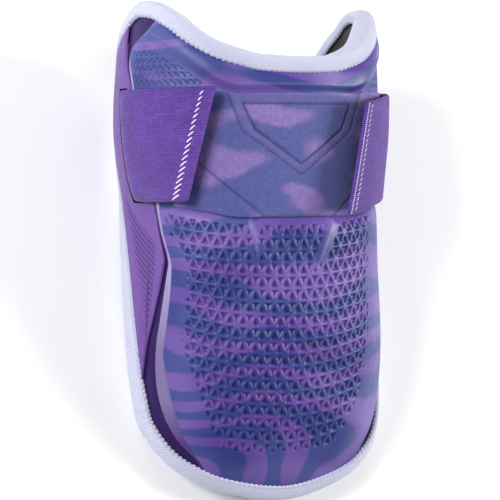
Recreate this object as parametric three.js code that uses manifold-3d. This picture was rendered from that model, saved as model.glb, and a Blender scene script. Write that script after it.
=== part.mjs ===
// Batter's elbow guard: a moulded foam pad that wraps the outside of the elbow, open at the back, with a wide elastic strap.
// While it is shaped, x runs across the arm, y along it toward the upper arm and z out of the front.
// The finished guard is laid on its rear edges, front up: millimetres, +Z up, origin under the middle of its box.
import * as THREE from 'three';
import Module from 'manifold-3d';
import { mergeVertices } from 'three/addons/utils/BufferGeometryUtils.js';

// Sizes of the layers, outward from the foam's outer face unless said otherwise.
const GAP = 0.3;
const FOAM_FRONT = 6.5;
const FOAM_WING = 3.0;
const LINING_GAP = 0.4;
const LINING_THICK = 1.2;
const WING_PANEL_TOP = 1.8;
const WING_PANEL_RIM = 1.1;
const CAP_UNDER = 0.85;
const CAP_FOOT = 1.4;
const LOOP_UNDER = 1.85;
const LOOP_TOP = 2.85;
const LOOP_HALF_ANGLE = 59;
const LOOP_MARGIN = 2.4;
const LOOP_HIGH = 70;

// The tape round the rim.
const TAPE_THICK = 1.5;
const TAPE_LEG = 7;
const TAPE_LEG_INSIDE = 5;
const TAPE_CLEAR = 0.5;
const TAPE_EDGE_CLEAR = 0.9;
const TAPE_INSIDE_CLEAR = 0.75;
const SEAM_INSET = TAPE_LEG + 0.6;

// The elastic strap.
const STRAP_WIDTH = 50;
const STRAP_MIDDLE = 49.5;
const STRAP_THICK = 1.8;
const STRAP_OUTSIDE = 4.1;
const STRAP_INSIDE = -8.4;
const STRAP_BACK_LOW = -20.5;
const STRAP_BACK_HIGH = -30;
const SLOT_CLEAR = 0.7;
const SLOT_ENDS = 1.2;

// How the guard lies.
const REST_TILT = 19.66;
const REST_FLAT = 1.1;
const TAPE_PRESSED = 0.3;

const SQUARENESS = 2.25;

function table(columns, ...rows) {
  return rows.map((row) => Object.fromEntries(columns.map((name, k) => [name, row[k]])));
}

// Cross-sections of the foam's outer face: half width, depth in front of and behind the axis, the axis' height.
const SECTIONS = table(
  ['y', 'half_width', 'front', 'rear', 'axis'],
  [-127, 61.5, 42, 43, -8.5],
  [-97, 65.2, 47.5, 47.5, -5],
  [-64.5, 63.8, 50.5, 49.5, -2],
  [-27, 61.3, 52, 51, 0],
  [4, 59.3, 52, 51.5, 0],
  [24, 58.6, 52, 51.5, 0],
  [59, 61.6, 51.5, 51.5, 0],
  [91.5, 60.2, 50.5, 49.5, 1],
  [127, 54, 47.5, 46, 3],
);

// The rim, as heights along the arm over the angle from the middle of the front. It is the same on both sides.
const WRAP_ANGLE = 124.5;
const TOP_EDGE = table(
  ['angle', 'y'],
  [-19, 87.8],
  [0, 87.2],
  [19, 87.8],
  [29.5, 90],
  [39.8, 93.3],
  [50.6, 99.1],
  [62.2, 106.7],
  [74.1, 111.6],
  [83.9, 112.6],
  [91.6, 110.8],
  [99.5, 106],
  [106.7, 101.4],
  [114, 93.8],
  [120, 83],
  [123.6, 71],
  [WRAP_ANGLE, 62],
);
const BOTTOM_EDGE = table(
  ['angle', 'y'],
  [-10.5, -110.2],
  [0, -111],
  [10.5, -110.2],
  [26.8, -107.3],
  [40.6, -103.3],
  [50.4, -98],
  [56.6, -93.9],
  [61, -90.1],
  [65, -86.1],
  [69, -81.6],
  [73.4, -75.6],
  [77.6, -65.5],
  [83, -50.8],
  [88.3, -34.2],
  [93.6, -17],
  [98, -3.8],
  [102.6, 8.2],
  [107.9, 19.4],
  [112.6, 30.3],
  [116.7, 40.6],
  [120.9, 49.7],
  [123.6, 56],
  [WRAP_ANGLE, 60],
);

// The cap's side: where its bevel meets the foam, and where the bevel reaches the top face.
const CAP_SIDE = table(
  ['y', 'foot', 'face'],
  [-98, 45, 42.3],
  [-92, 47.1, 45.4],
  [-84, 54.2, 48.9],
  [-72, 61.3, 52.6],
  [-57, 65.7, 56.8],
  [-44, 66.8, 60.8],
  [-30, 65.5, 61.1],
  [-14, 63.3, 59.5],
  [-3, 61.9, 59.2],
  [5.5, 64.3, 61.6],
  [18.5, 68.2, 65.4],
  [50, 76.6, 74.6],
  [77.4, 83.6, 81.8],
  [87, 84.4, 82.4],
  [92, 82.6, 80.2],
  [96.5, 79, 76.4],
  [104.5, 70.8, 68],
);

// The channel across the cap for the strap's ends.
const CHANNEL = table(
  ['angle', 'low', 'high'],
  [-30, 17.2, 75],
  [0, 17.2, 72],
  [30, 17.2, 75],
  [44, 19.6, 82],
  [58, 22, 92.5],
  [70, 24, 99],
  [90, 26, 104],
);

// Cross lines of the cap: its three bands run from the lower tape to the channel, over the channel, and up to the upper tape.
const CAP_LINES = table(
  ['band', 'share', 'height'],
  [0, 0, 1.2],
  [0, 0.05, 2.7],
  [0, 0.11, 4],
  [0, 0.19, 4.8],
  [0, 0.3, 5],
  [0, 0.44, 5],
  [0, 0.58, 5],
  [0, 0.72, 5],
  [0, 0.85, 5],
  [0, 0.96, 5],
  [0, 0.985, 4.4],
  [1, 0.01, 1.5],
  [1, 0.18, 1.5],
  [1, 0.38, 1.5],
  [1, 0.6, 1.5],
  [1, 0.8, 1.5],
  [1, 0.985, 1.5],
  [2, 0.12, 4],
  [2, 0.32, 4.8],
  [2, 0.62, 4],
  [2, 0.86, 2.4],
  [2, 1, 1.2],
);
const CAP_HALF_COLUMNS = 11;
const CAP_SIDE_DROP = 0.46;

// The groove beside each wing panel, above and below its bend.
const WING_BEND = 64.6;
const WING_REAR = 115.6;
const WING_ABOVE = table(
  ['angle', 'y'],
  [64.3, -1.8],
  [66.6, 5.4],
  [69.9, 18.5],
  [71.2, 24.1],
  [78.6, 50],
  [86, 77.4],
  [89, 83],
  [91.5, 88.5],
  [92.6, 96],
  [93.6, 106],
  [126, 130],
);
const WING_BELOW = table(
  ['angle', 'y'],
  [64.3, -1.8],
  [66.7, -14.4],
  [69.1, -24.7],
  [71.5, -34.5],
  [73.1, -43.6],
  [74.5, -60],
  [126, -130],
);

// Where the strap passes the wing.
const SLOT = table(
  ['y', 'angle'],
  [18, 79],
  [24.5, 84.5],
  [29.5, 88],
  [34, 89.6],
  [40, 90.6],
  [52, 91.2],
  [66, 92.6],
  [80, 94],
);

// The strap's two ends outside the guard: the angle of the cut end at the strap's lower and upper edge, how far the end
// stands off, and how far along the arm it has shifted.
const TAB = {
  right: { end_low: 18, end_high: 28.6, stand_off: 9.5, shift: -5.5 },
  left: { end_low: 50, end_high: 40, stand_off: 6, shift: 1 },
};

const COLOURS = {
  pad_base: 0x3d2c6b,
  wing_left: 0x6b46a6,
  wing_right: 0x6b46a6,
  front_cap: 0x5d4ea6,
  loop_panel: 0x6d66ae,
  lining: 0x141418,
  edge_binding: 0xcfd0e6,
  strap: 0x5f3a9e,
};

const lerp = THREE.MathUtils.lerp;
const smoothstep = THREE.MathUtils.smoothstep;

// A smooth curve through a table's rows that never overshoots them.
function follow(rows, key, value, at) {
  const last = rows.length - 1;
  const x = Math.min(Math.max(at, rows[0][key]), rows[last][key]);
  let k = 0;
  while (k < last - 1 && x > rows[k + 1][key]) k += 1;
  const rise = (j) => (rows[j + 1][value] - rows[j][value]) / (rows[j + 1][key] - rows[j][key]);
  const slope = (j) => {
    if (j === 0) return rise(0);
    if (j === last) return rise(last - 1);
    const before = rise(j - 1);
    const after = rise(j);
    return before * after <= 0 ? 0 : (2 * before * after) / (before + after);
  };
  const step = rows[k + 1][key] - rows[k][key];
  const t = (x - rows[k][key]) / step;
  const s = 1 - t;
  return (
    rows[k][value] * s * s * (1 + 2 * t) +
    rows[k + 1][value] * t * t * (1 + 2 * s) +
    slope(k) * step * t * s * s -
    slope(k + 1) * step * t * t * s
  );
}

// The foam's outer face at an angle in degrees from the middle of the front.
function facePoint(angle, y) {
  const turn = THREE.MathUtils.degToRad(angle);
  const across = Math.sin(turn);
  const out = Math.cos(turn);
  const width = follow(SECTIONS, 'y', 'half_width', y);
  const depth = follow(SECTIONS, 'y', out > 0 ? 'front' : 'rear', y);
  const sum = Math.abs(across / width) ** SQUARENESS + Math.abs(out / depth) ** SQUARENESS;
  const reach = sum ** (-1 / SQUARENESS);
  return new THREE.Vector3(reach * across, y, follow(SECTIONS, 'y', 'axis', y) + reach * out);
}

function slopes(angle, y) {
  const round = facePoint(angle + 0.25, y).sub(facePoint(angle - 0.25, y)).multiplyScalar(2);
  const along = facePoint(angle, y + 0.5).sub(facePoint(angle, y - 0.5));
  return { round, along, normal: round.clone().cross(along).normalize() };
}

function lifted(angle, y, lift) {
  return facePoint(angle, y).addScaledVector(slopes(angle, y).normal, lift);
}

function topEdge(angle) {
  return follow(TOP_EDGE, 'angle', 'y', Math.abs(angle));
}

function bottomEdge(angle) {
  return follow(BOTTOM_EDGE, 'angle', 'y', Math.abs(angle));
}

// The rim as evenly spaced points, from the middle of the upper edge round past the right wing, each with the step in
// angle and height that leads one millimetre outward along the face.
function rimStations(count) {
  const line = [];
  const fine = 400;
  const angleAt = (k) => WRAP_ANGLE * Math.sin((Math.PI * k) / (2 * fine));
  for (let k = 0; k <= fine; k += 1) line.push([angleAt(k), topEdge(angleAt(k))]);
  for (let k = fine; k > -fine; k -= 1) line.push([angleAt(k), bottomEdge(angleAt(k))]);
  for (let k = -fine; k < 0; k += 1) line.push([angleAt(k), topEdge(angleAt(k))]);
  line.push(line[0]);
  const run = [0];
  for (let k = 1; k < line.length; k += 1) {
    run.push(run[k - 1] + facePoint(...line[k]).distanceTo(facePoint(...line[k - 1])));
  }
  const spots = [];
  let k = 1;
  for (let n = 0; n < count; n += 1) {
    const goal = (run[run.length - 1] * n) / count;
    while (run[k] < goal) k += 1;
    const share = (goal - run[k - 1]) / (run[k] - run[k - 1]);
    spots.push([lerp(line[k - 1][0], line[k][0], share), lerp(line[k - 1][1], line[k][1], share)]);
  }
  return spots.map(([angle, y], n) => {
    const next = facePoint(...spots[(n + 1) % count]);
    const last = facePoint(...spots[(n + count - 1) % count]);
    const { round, along, normal } = slopes(angle, y);
    const outward = normal.clone().cross(next.sub(last)).normalize();
    const [rr, ra, aa] = [round.dot(round), round.dot(along), along.dot(along)];
    const [or, oa] = [outward.dot(round), outward.dot(along)];
    const scale = rr * aa - ra * ra;
    return { angle, y, stepAngle: (or * aa - oa * ra) / scale, stepY: (oa * rr - or * ra) / scale };
  });
}

// The line where the tape's leg ends: heights over the angle, along the upper and the lower rim of the right half.
const seam = rimStations(600)
  .slice(0, 301)
  .map(({ angle, y, stepAngle, stepY }) => ({ angle: angle - stepAngle * SEAM_INSET, y: y - stepY * SEAM_INSET }));
const seamTip = seam.reduce((best, spot, k) => (spot.angle > seam[best].angle ? k : best), 0);

function alongSeam(spots, angle) {
  const at = Math.min(Math.abs(angle), spots[spots.length - 1].angle);
  const k = Math.max(1, spots.findIndex((spot, n) => spot.angle >= at && n > 0));
  const share = (at - spots[k - 1].angle) / (spots[k].angle - spots[k - 1].angle);
  return lerp(spots[k - 1].y, spots[k].y, share);
}

function seamTop(angle) {
  return alongSeam(seam.slice(0, seamTip + 1), angle);
}

function seamBottom(angle) {
  return alongSeam(seam.slice(seamTip).reverse(), angle);
}

function foam(angle) {
  return lerp(FOAM_FRONT, FOAM_WING, smoothstep(Math.abs(angle), 50, 78));
}

// A closed body between two skins over the same grid of points. The squares' diagonals turn at a column, so that the
// two halves mirror each other.
function closedBody(columns, rows, top, under, turn = columns / 2) {
  const points = [];
  const faces = [];
  const stride = rows + 1;
  const half = (columns + 1) * stride;
  for (const skin of [top, under]) {
    for (let i = 0; i <= columns; i += 1) {
      for (let j = 0; j <= rows; j += 1) points.push(...skin(i, j).toArray());
    }
  }
  const at = (i, j) => i * stride + j;
  for (let i = 0; i < columns; i += 1) {
    for (let j = 0; j < rows; j += 1) {
      const [a, b, c, d] = [at(i, j), at(i + 1, j), at(i + 1, j + 1), at(i, j + 1)];
      const corners = i >= turn ? [a, b, d, b, c, d] : [a, b, c, a, c, d];
      faces.push(...corners, ...corners.map((corner) => half + corner).reverse());
    }
  }
  const rim = [];
  for (let i = 0; i < columns; i += 1) rim.push(at(i, 0));
  for (let j = 0; j < rows; j += 1) rim.push(at(columns, j));
  for (let i = columns; i > 0; i -= 1) rim.push(at(i, rows));
  for (let j = rows; j > 0; j -= 1) rim.push(at(0, j));
  rim.forEach((p, k) => {
    const q = rim[(k + 1) % rim.length];
    faces.push(q, p, half + p, q, half + p, half + q);
  });
  const geometry = new THREE.BufferGeometry();
  geometry.setAttribute('position', new THREE.Float32BufferAttribute(points, 3));
  geometry.setIndex(faces);
  return geometry;
}

const wasm = await Module();
wasm.setup();

function toSolid(geometry) {
  const clean = mergeVertices(geometry.clone().deleteAttribute('normal').deleteAttribute('uv'), 1e-4);
  return new wasm.Manifold(
    new wasm.Mesh({
      numProp: 3,
      vertProperties: new Float32Array(clean.attributes.position.array),
      triVerts: new Uint32Array(clean.index.array),
    }),
  );
}

function cutAway(geometry, cutters) {
  const solid = cutters.reduce((left, cutter) => left.subtract(cutter), toSolid(geometry));
  const mesh = solid.getMesh();
  const result = new THREE.BufferGeometry();
  result.setAttribute('position', new THREE.Float32BufferAttribute(mesh.vertProperties, 3));
  result.setIndex([...mesh.triVerts]);
  return result;
}

// Foam body and lining: the whole wrap from one wing tip to the other.
function wrap(columns, rows, outer, inner) {
  const place = (i, j, lift) => {
    const share = (2 * i) / columns - 1;
    const angle = WRAP_ANGLE * Math.sign(share) * (1 - (1 - Math.abs(share)) ** 1.15);
    const y = lerp(bottomEdge(angle), topEdge(angle), j / rows);
    return lifted(angle, y, lift(angle));
  };
  return closedBody(
    columns,
    rows,
    (i, j) => place(i, j, outer),
    (i, j) => place(i, j, inner),
  );
}

// Raised front cap.
function capGuides(angle) {
  const at = Math.abs(angle);
  return [
    seamBottom(angle),
    follow(CHANNEL, 'angle', 'low', at),
    follow(CHANNEL, 'angle', 'high', at),
    seamTop(angle),
  ];
}

function capLineY(line, angle) {
  const guides = capGuides(angle);
  return lerp(guides[line.band], guides[line.band + 1], line.share);
}

function frontCap() {
  const side = CAP_LINES.map((line) => {
    let foot = 60;
    for (let k = 0; k < 12; k += 1) foot = follow(CAP_SIDE, 'y', 'foot', capLineY(line, foot));
    return { foot, face: follow(CAP_SIDE, 'y', 'face', capLineY(line, foot)) };
  });
  const columns = 2 * CAP_HALF_COLUMNS + 2;
  const place = (i, j, top) => {
    const step = i - CAP_HALF_COLUMNS - 1;
    const atFoot = Math.abs(step) > CAP_HALF_COLUMNS;
    const angle = atFoot ? Math.sign(step) * side[j].foot : (side[j].face * step) / CAP_HALF_COLUMNS;
    const fall = CAP_SIDE_DROP * smoothstep(Math.abs(step) / CAP_HALF_COLUMNS, 0.5, 1);
    const face = atFoot ? CAP_FOOT : Math.max(CAP_FOOT, CAP_LINES[j].height * (1 - fall));
    return lifted(angle, capLineY(CAP_LINES[j], angle), top ? face : CAP_UNDER);
  };
  return closedBody(
    columns,
    CAP_LINES.length - 1,
    (i, j) => place(i, j, true),
    (i, j) => place(i, j, false),
  );
}

// Brushed panel on the floor of the channel.
function loopPanel() {
  const columns = 18;
  const rows = 6;
  const place = (i, j, lift) => {
    const angle = LOOP_HALF_ANGLE * ((2 * i) / columns - 1);
    const low = follow(CHANNEL, 'angle', 'low', Math.abs(angle)) + LOOP_MARGIN;
    return lifted(angle, lerp(low, LOOP_HIGH, j / rows), lift);
  };
  return closedBody(
    columns,
    rows,
    (i, j) => place(i, j, LOOP_TOP),
    (i, j) => place(i, j, LOOP_UNDER),
  );
}

// Side panel between the groove and the tape, drawn on the right and mirrored for the left.
function wingPanel(side) {
  const columns = 11;
  const rows = 14;
  const place = (i, j, lift) => {
    const share = side > 0 ? i / columns : 1 - i / columns;
    const angle = lerp(WING_BEND, WING_REAR, share);
    const low = Math.max(seamBottom(angle), follow(WING_BELOW, 'angle', 'y', angle));
    const high = Math.min(seamTop(angle), follow(WING_ABOVE, 'angle', 'y', angle));
    return lifted(side * angle, lerp(low, high, j / rows), lift);
  };
  const onRim = (i, j) => i === 0 || i === columns || j === 0 || j === rows;
  return closedBody(
    columns,
    rows,
    (i, j) => place(i, j, onRim(i, j) ? WING_PANEL_RIM : WING_PANEL_TOP),
    (i, j) => place(i, j, GAP),
    side > 0 ? 0 : columns,
  );
}

// Folded tape with a leg on each side of the wall. Each point of its outline is a way out past the rim, a share of the
// wall's depth, a rise off that and the lowest it lies over the table.
function edgeBinding() {
  const stations = rimStations(96);
  const far = TAPE_CLEAR + TAPE_THICK;
  const deep = TAPE_INSIDE_CLEAR + TAPE_THICK;
  const nose = TAPE_EDGE_CLEAR + TAPE_THICK;
  const outline = table(
    ['out', 'depth', 'rise', 'lowest'],
    [-TAPE_LEG, 0, TAPE_CLEAR, TAPE_PRESSED],
    [TAPE_EDGE_CLEAR, 0, TAPE_CLEAR, TAPE_PRESSED],
    [TAPE_EDGE_CLEAR, 1, -TAPE_INSIDE_CLEAR, TAPE_PRESSED],
    [-TAPE_LEG_INSIDE, 1, -TAPE_INSIDE_CLEAR, TAPE_PRESSED],
    [-TAPE_LEG_INSIDE, 1, 0.15 - deep, 0],
    [-0.8, 1, -deep, 0],
    [1.7, 1, -deep * 0.62, 0],
    [nose, 0.75, 0, 0],
    [nose, 0.25, 0, 0],
    [1.7, 0, far * 0.62, 0],
    [-0.8, 0, far, 0],
    [-TAPE_LEG, 0, far - 0.15, 0],
  );
  const points = [];
  for (const { angle, y, stepAngle, stepY } of stations) {
    for (const { out, depth, rise } of outline) {
      const at = angle + stepAngle * out;
      const wall = foam(at) + LINING_GAP + LINING_THICK;
      points.push(...lifted(at, y + stepY * out, rise - depth * wall).toArray());
    }
  }
  const faces = [];
  const count = stations.length;
  const ring = outline.length;
  for (let n = 0; n < count; n += 1) {
    for (let m = 0; m < ring; m += 1) {
      const [a, b] = [n * ring + m, n * ring + ((m + 1) % ring)];
      const [c, d] = [((n + 1) % count) * ring + ((m + 1) % ring), ((n + 1) % count) * ring + m];
      faces.push(a, b, c, a, c, d);
    }
  }
  const geometry = new THREE.BufferGeometry();
  geometry.setAttribute('position', new THREE.Float32BufferAttribute(points, 3));
  geometry.setIndex(faces);
  geometry.userData.lowest = (k) => outline[k % ring].lowest;
  return geometry;
}

// One thread of the strap at height y, from the right end through both slots to the left end.
function strapThread(y) {
  const slot = follow(SLOT, 'y', 'angle', y);
  const across = (y - STRAP_MIDDLE) / STRAP_WIDTH + 0.5;
  const back = lerp(STRAP_BACK_LOW, STRAP_BACK_HIGH, across);
  let leave = 94;
  while (leave < 119 && lifted(leave, y, STRAP_INSIDE).z > back + 4) leave += 0.1;
  const halves = ['right', 'left'].map((name) => {
    const tab = TAB[name];
    const side = name === 'right' ? 1 : -1;
    const end = lerp(tab.end_low, tab.end_high, across);
    const root = slot - 7.5;
    const half = [0, 0.25, 0.5, 0.75, 1].map((share) => {
      const off = tab.stand_off * (1 - share) ** 2;
      return lifted(side * lerp(end, root, share), y + tab.shift * (1 - share) ** 2, STRAP_OUTSIDE + off);
    });
    half.push(lifted(side * (slot - 2.8), y, 1.9));
    half.push(lifted(side * (slot + 2.8), y, -5.4));
    half.push(lifted(side * (slot + 8.5), y, STRAP_INSIDE));
    half.push(lifted(side * lerp(slot + 8.5, leave, 0.55), y, STRAP_INSIDE));
    half.push(lifted(side * leave, y, STRAP_INSIDE));
    const wallEnd = half[half.length - 1];
    half.push(new THREE.Vector3(wallEnd.x - side * 9, y, back));
    half.push(new THREE.Vector3(wallEnd.x * 0.4, y, back));
    return half;
  });
  return new THREE.CatmullRomCurve3([...halves[0], ...halves[1].reverse()], false, 'centripetal');
}

// A band along the strap's run between two shares of it.
function strapBand(from, to, steps, low, high, thick) {
  const rows = 3;
  const threads = [];
  for (let j = 0; j <= rows; j += 1) threads.push(strapThread(lerp(low, high, j / rows)));
  const place = (i, j, side) => {
    const at = lerp(from, to, i / steps);
    const ahead = threads[j].getTangent(at);
    const out = new THREE.Vector3(-ahead.z, 0, ahead.x).normalize();
    return threads[j].getPoint(at).addScaledVector(out, (side * thick) / 2);
  };
  return closedBody(
    steps,
    rows,
    (i, j) => place(i, j, 1),
    (i, j) => place(i, j, -1),
  );
}

const strapLow = STRAP_MIDDLE - STRAP_WIDTH / 2;
const strapHigh = STRAP_MIDDLE + STRAP_WIDTH / 2;
const SLOT_FROM = 4.2 / 23;
const SLOT_TO = 7.4 / 23;
const slotCutters = [SLOT_FROM, 1 - SLOT_TO].map((from) =>
  toSolid(
    strapBand(
      from,
      from + SLOT_TO - SLOT_FROM,
      12,
      strapLow - SLOT_ENDS,
      strapHigh + SLOT_ENDS,
      STRAP_THICK + 2 * SLOT_CLEAR,
    ),
  ),
);

const liningOuter = (angle) => -foam(angle) - LINING_GAP;
const liningInner = (angle) => -foam(angle) - LINING_GAP - LINING_THICK;
const shapes = {
  pad_base: cutAway(
    wrap(36, 11, () => 0, (angle) => -foam(angle)),
    slotCutters,
  ),
  wing_left: cutAway(wingPanel(-1), slotCutters),
  wing_right: cutAway(wingPanel(1), slotCutters),
  front_cap: frontCap(),
  loop_panel: loopPanel(),
  lining: cutAway(wrap(32, 9, liningOuter, liningInner), slotCutters),
  edge_binding: edgeBinding(),
  strap: strapBand(0, 1, 74, strapLow, strapHigh, STRAP_THICK),
};

// Lay the guard down: tilt it onto its wing tips and lower sides, and press the tape flat where it meets the table.
const tilt = new THREE.Matrix4().makeRotationX(THREE.MathUtils.degToRad(REST_TILT));
const box = new THREE.Box3();
for (const geometry of Object.values(shapes)) {
  geometry.applyMatrix4(tilt);
  geometry.computeBoundingBox();
  box.union(geometry.boundingBox);
}
const table_height = box.min.z + REST_FLAT;
const middle = box.getCenter(new THREE.Vector3());
const guard = new THREE.Group();
guard.name = 'elbow_guard';
for (const [name, geometry] of Object.entries(shapes)) {
  geometry.translate(-middle.x, -middle.y, -table_height);
  const position = geometry.getAttribute('position');
  const { lowest } = geometry.userData;
  for (let k = 0; lowest && k < position.count; k += 1) position.setZ(k, Math.max(position.getZ(k), lowest(k)));
  geometry.computeVertexNormals();
  const material = new THREE.MeshStandardMaterial({ color: COLOURS[name], roughness: 0.7, metalness: 0 });
  material.name = name;
  const mesh = new THREE.Mesh(geometry, material);
  mesh.name = name;
  guard.add(mesh);
}

export default guard;
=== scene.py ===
import math

import bpy
import numpy as np
from mathutils import Matrix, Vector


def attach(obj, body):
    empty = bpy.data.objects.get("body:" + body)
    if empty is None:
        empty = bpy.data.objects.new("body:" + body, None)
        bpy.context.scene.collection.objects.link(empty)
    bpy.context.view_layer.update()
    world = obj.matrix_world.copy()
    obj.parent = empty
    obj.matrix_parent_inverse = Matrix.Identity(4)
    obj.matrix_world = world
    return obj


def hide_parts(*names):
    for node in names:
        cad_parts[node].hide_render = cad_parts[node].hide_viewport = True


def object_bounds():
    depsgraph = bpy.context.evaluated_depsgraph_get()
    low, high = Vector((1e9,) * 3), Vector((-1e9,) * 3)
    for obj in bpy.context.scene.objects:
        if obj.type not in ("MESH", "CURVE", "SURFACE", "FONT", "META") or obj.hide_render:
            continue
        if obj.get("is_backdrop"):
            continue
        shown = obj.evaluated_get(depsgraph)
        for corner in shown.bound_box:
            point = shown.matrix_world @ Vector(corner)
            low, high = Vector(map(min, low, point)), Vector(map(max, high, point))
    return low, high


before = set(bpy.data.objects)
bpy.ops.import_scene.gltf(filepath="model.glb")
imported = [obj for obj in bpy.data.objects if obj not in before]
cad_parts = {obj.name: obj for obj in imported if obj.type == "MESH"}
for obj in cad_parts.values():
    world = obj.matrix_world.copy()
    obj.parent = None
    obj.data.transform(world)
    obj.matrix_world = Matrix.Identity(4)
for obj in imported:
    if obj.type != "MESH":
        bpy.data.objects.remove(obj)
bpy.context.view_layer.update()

# Foam body
# A moulded foam shell that wraps the outside of the elbow and stays open at the back, under dark glossy film.
# The strap goes in and out through a slot in each side. While the guard is shaped, x runs across the arm,
# y along it toward the upper arm and z out of the front, in millimetres.
SECTIONS = {
    "y": (-127, -97, -64.5, -27, 4, 24, 59, 91.5, 127),
    "half_width": (61.5, 65.2, 63.8, 61.3, 59.3, 58.6, 61.6, 60.2, 54),
    "front": (42, 47.5, 50.5, 52, 52, 52, 51.5, 50.5, 47.5),
    "rear": (43, 47.5, 49.5, 51, 51.5, 51.5, 51.5, 49.5, 46),
    "axis": (-8.5, -5, -2, 0, 0, 0, 0, 1, 3),
}
SQUARENESS = 2.25
WRAP_ANGLE = 124.5
WRAP_CROWDING = 1.15
TOP_EDGE = {
    "angle": (-19, 0, 19, 29.5, 39.8, 50.6, 62.2, 74.1, 83.9, 91.6, 99.5, 106.7, 114, 120, 123.6, WRAP_ANGLE),
    "y": (87.8, 87.2, 87.8, 90, 93.3, 99.1, 106.7, 111.6, 112.6, 110.8, 106, 101.4, 93.8, 83, 71, 62),
}
BOTTOM_EDGE = {
    "angle": (-10.5, 0, 10.5, 26.8, 40.6, 50.4, 56.6, 61, 65, 69, 73.4, 77.6, 83, 88.3, 93.6, 98, 102.6,
              107.9, 112.6, 116.7, 120.9, 123.6, WRAP_ANGLE),
    "y": (-110.2, -111, -110.2, -107.3, -103.3, -98, -93.9, -90.1, -86.1, -81.6, -75.6, -65.5, -50.8, -34.2,
          -17, -3.8, 8.2, 19.4, 30.3, 40.6, 49.7, 56, 60),
}
FOAM_FRONT, FOAM_SIDE = 6.5, 3.0
FOAM_THINS = (50, 78)
FOAM_COLUMNS, FOAM_ROWS = 168, 72
CREASE = {"y": (-78, -63.5, -46.5, -30), "angle": (61, 64.5, 67, 67.5)}
CREASE_DEPTH, CREASE_HALF, CREASE_DEGREE = 0.8, 1.5, 1.05
CREASE_BEGINS, CREASE_ENDS = (-80, -66), (-28, -44)
REST_TILT = math.radians(19.66)
LAID_AT = (0.0033, -6.7853, -13.4715)
SHARP_EDGE = math.radians(50)

STRAP_WIDTH = 50
STRAP_MIDDLE = 49.5
STRAP_THICK = 1.8
STRAP_OUTSIDE, STRAP_INSIDE = 4.1, -8.4
STRAP_BACK_LOW, STRAP_BACK_HIGH = -20.5, -30
STRAP_LEAVES = np.arange(94, 119.05, 0.1)
STRAP_LEAVES_ABOVE = 4
STRAP_BACK_BEND, STRAP_BACK_SPAN = 9, 0.4
STRAP_SPANS = 23
SLOT = {"y": (18, 24.5, 29.5, 34, 40, 52, 66, 80), "angle": (79, 84.5, 88, 89.6, 90.6, 91.2, 92.6, 94)}
SLOT_FROM, SLOT_TO = 4.2 / STRAP_SPANS, 7.4 / STRAP_SPANS
SLOT_BEFORE, SLOT_HALF, SLOT_AFTER = 7.5, 2.8, 8.5
SLOT_OUTSIDE, SLOT_INSIDE = 1.9, -5.4
SLOT_CLEAR, SLOT_ENDS = 2.2, 1.0
CUTTER_STEPS, CUTTER_ROWS = 40, 32
TABS = (
    {"side": 1, "end_low": 18, "end_high": 28.6, "stand_off": 9.5, "shift": -5.5},
    {"side": -1, "end_low": 50, "end_high": 40, "stand_off": 6, "shift": 1},
)


def mix(a, b, share):
    return a + (b - a) * share


def ease(value, low, high):
    share = np.clip((value - low) / (high - low), 0, 1)
    return share * share * (3 - 2 * share)


def along(table, key, value, at):
    """A smooth curve through two columns of a table that never overshoots them."""
    x, v = np.array(table[key], float), np.array(table[value], float)
    at = np.clip(at, x[0], x[-1])
    k = np.clip(np.searchsorted(x, at) - 1, 0, len(x) - 2)
    rise = np.diff(v) / np.diff(x)
    bends = rise[:-1] * rise[1:] > 0
    middle = np.where(bends, 2 * rise[:-1] * rise[1:] / np.where(bends, rise[:-1] + rise[1:], 1), 0)
    slope = np.concatenate([rise[:1], middle, rise[-1:]])
    step = np.diff(x)[k]
    t = (at - x[k]) / step
    s = 1 - t
    ends = v[k] * s * s * (1 + 2 * t) + v[k + 1] * t * t * (1 + 2 * s)
    return ends + step * t * s * (slope[k] * s - slope[k + 1] * t)


def face_point(angle, y):
    """The foam's outer face, at an angle in degrees from the middle of the front."""
    across, out = np.sin(np.radians(angle)), np.cos(np.radians(angle))
    width = along(SECTIONS, "y", "half_width", y)
    depth = np.where(out > 0, along(SECTIONS, "y", "front", y), along(SECTIONS, "y", "rear", y))
    reach = (abs(across / width) ** SQUARENESS + abs(out / depth) ** SQUARENESS) ** (-1 / SQUARENESS)
    return np.stack([reach * across, y + 0 * reach, along(SECTIONS, "y", "axis", y) + reach * out], -1)


def face_slopes(angle, y):
    """Steps of one degree round the face and one millimetre along it, and the way out of it."""
    turn = (face_point(angle + 0.25, y) - face_point(angle - 0.25, y)) * 2
    ahead = face_point(angle, y + 0.5) - face_point(angle, y - 0.5)
    out = np.cross(turn, ahead)
    return turn, ahead, out / np.linalg.norm(out, axis=-1, keepdims=True)


def skin(angle, y, lift):
    """Points that stand a lift off the foam's face."""
    angle, y, lift = np.broadcast_arrays(angle, y, lift)
    return face_point(angle, y) + face_slopes(angle, y)[2] * lift[..., None]


def top_edge(angle):
    return along(TOP_EDGE, "angle", "y", abs(angle))


def bottom_edge(angle):
    return along(BOTTOM_EDGE, "angle", "y", abs(angle))


def foam_thickness(angle):
    return mix(FOAM_FRONT, FOAM_SIDE, ease(abs(angle), *FOAM_THINS))


def wrap(columns, rows):
    """Angles and heights of a grid from one wing tip to the other."""
    share = np.linspace(-1, 1, columns + 1)[:, None]
    angle = WRAP_ANGLE * np.sign(share) * (1 - (1 - abs(share)) ** WRAP_CROWDING)
    y = mix(bottom_edge(angle), top_edge(angle), np.linspace(0, 1, rows + 1)[None, :])
    return angle + 0 * y, y


def turn_down(points):
    """Directions of the guard in the hand, once it lies on the table."""
    x, y, z = np.moveaxis(np.asarray(points), -1, 0)
    cos, sin = math.cos(REST_TILT), math.sin(REST_TILT)
    return np.stack([x, y * cos - z * sin, y * sin + z * cos], -1)


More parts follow.
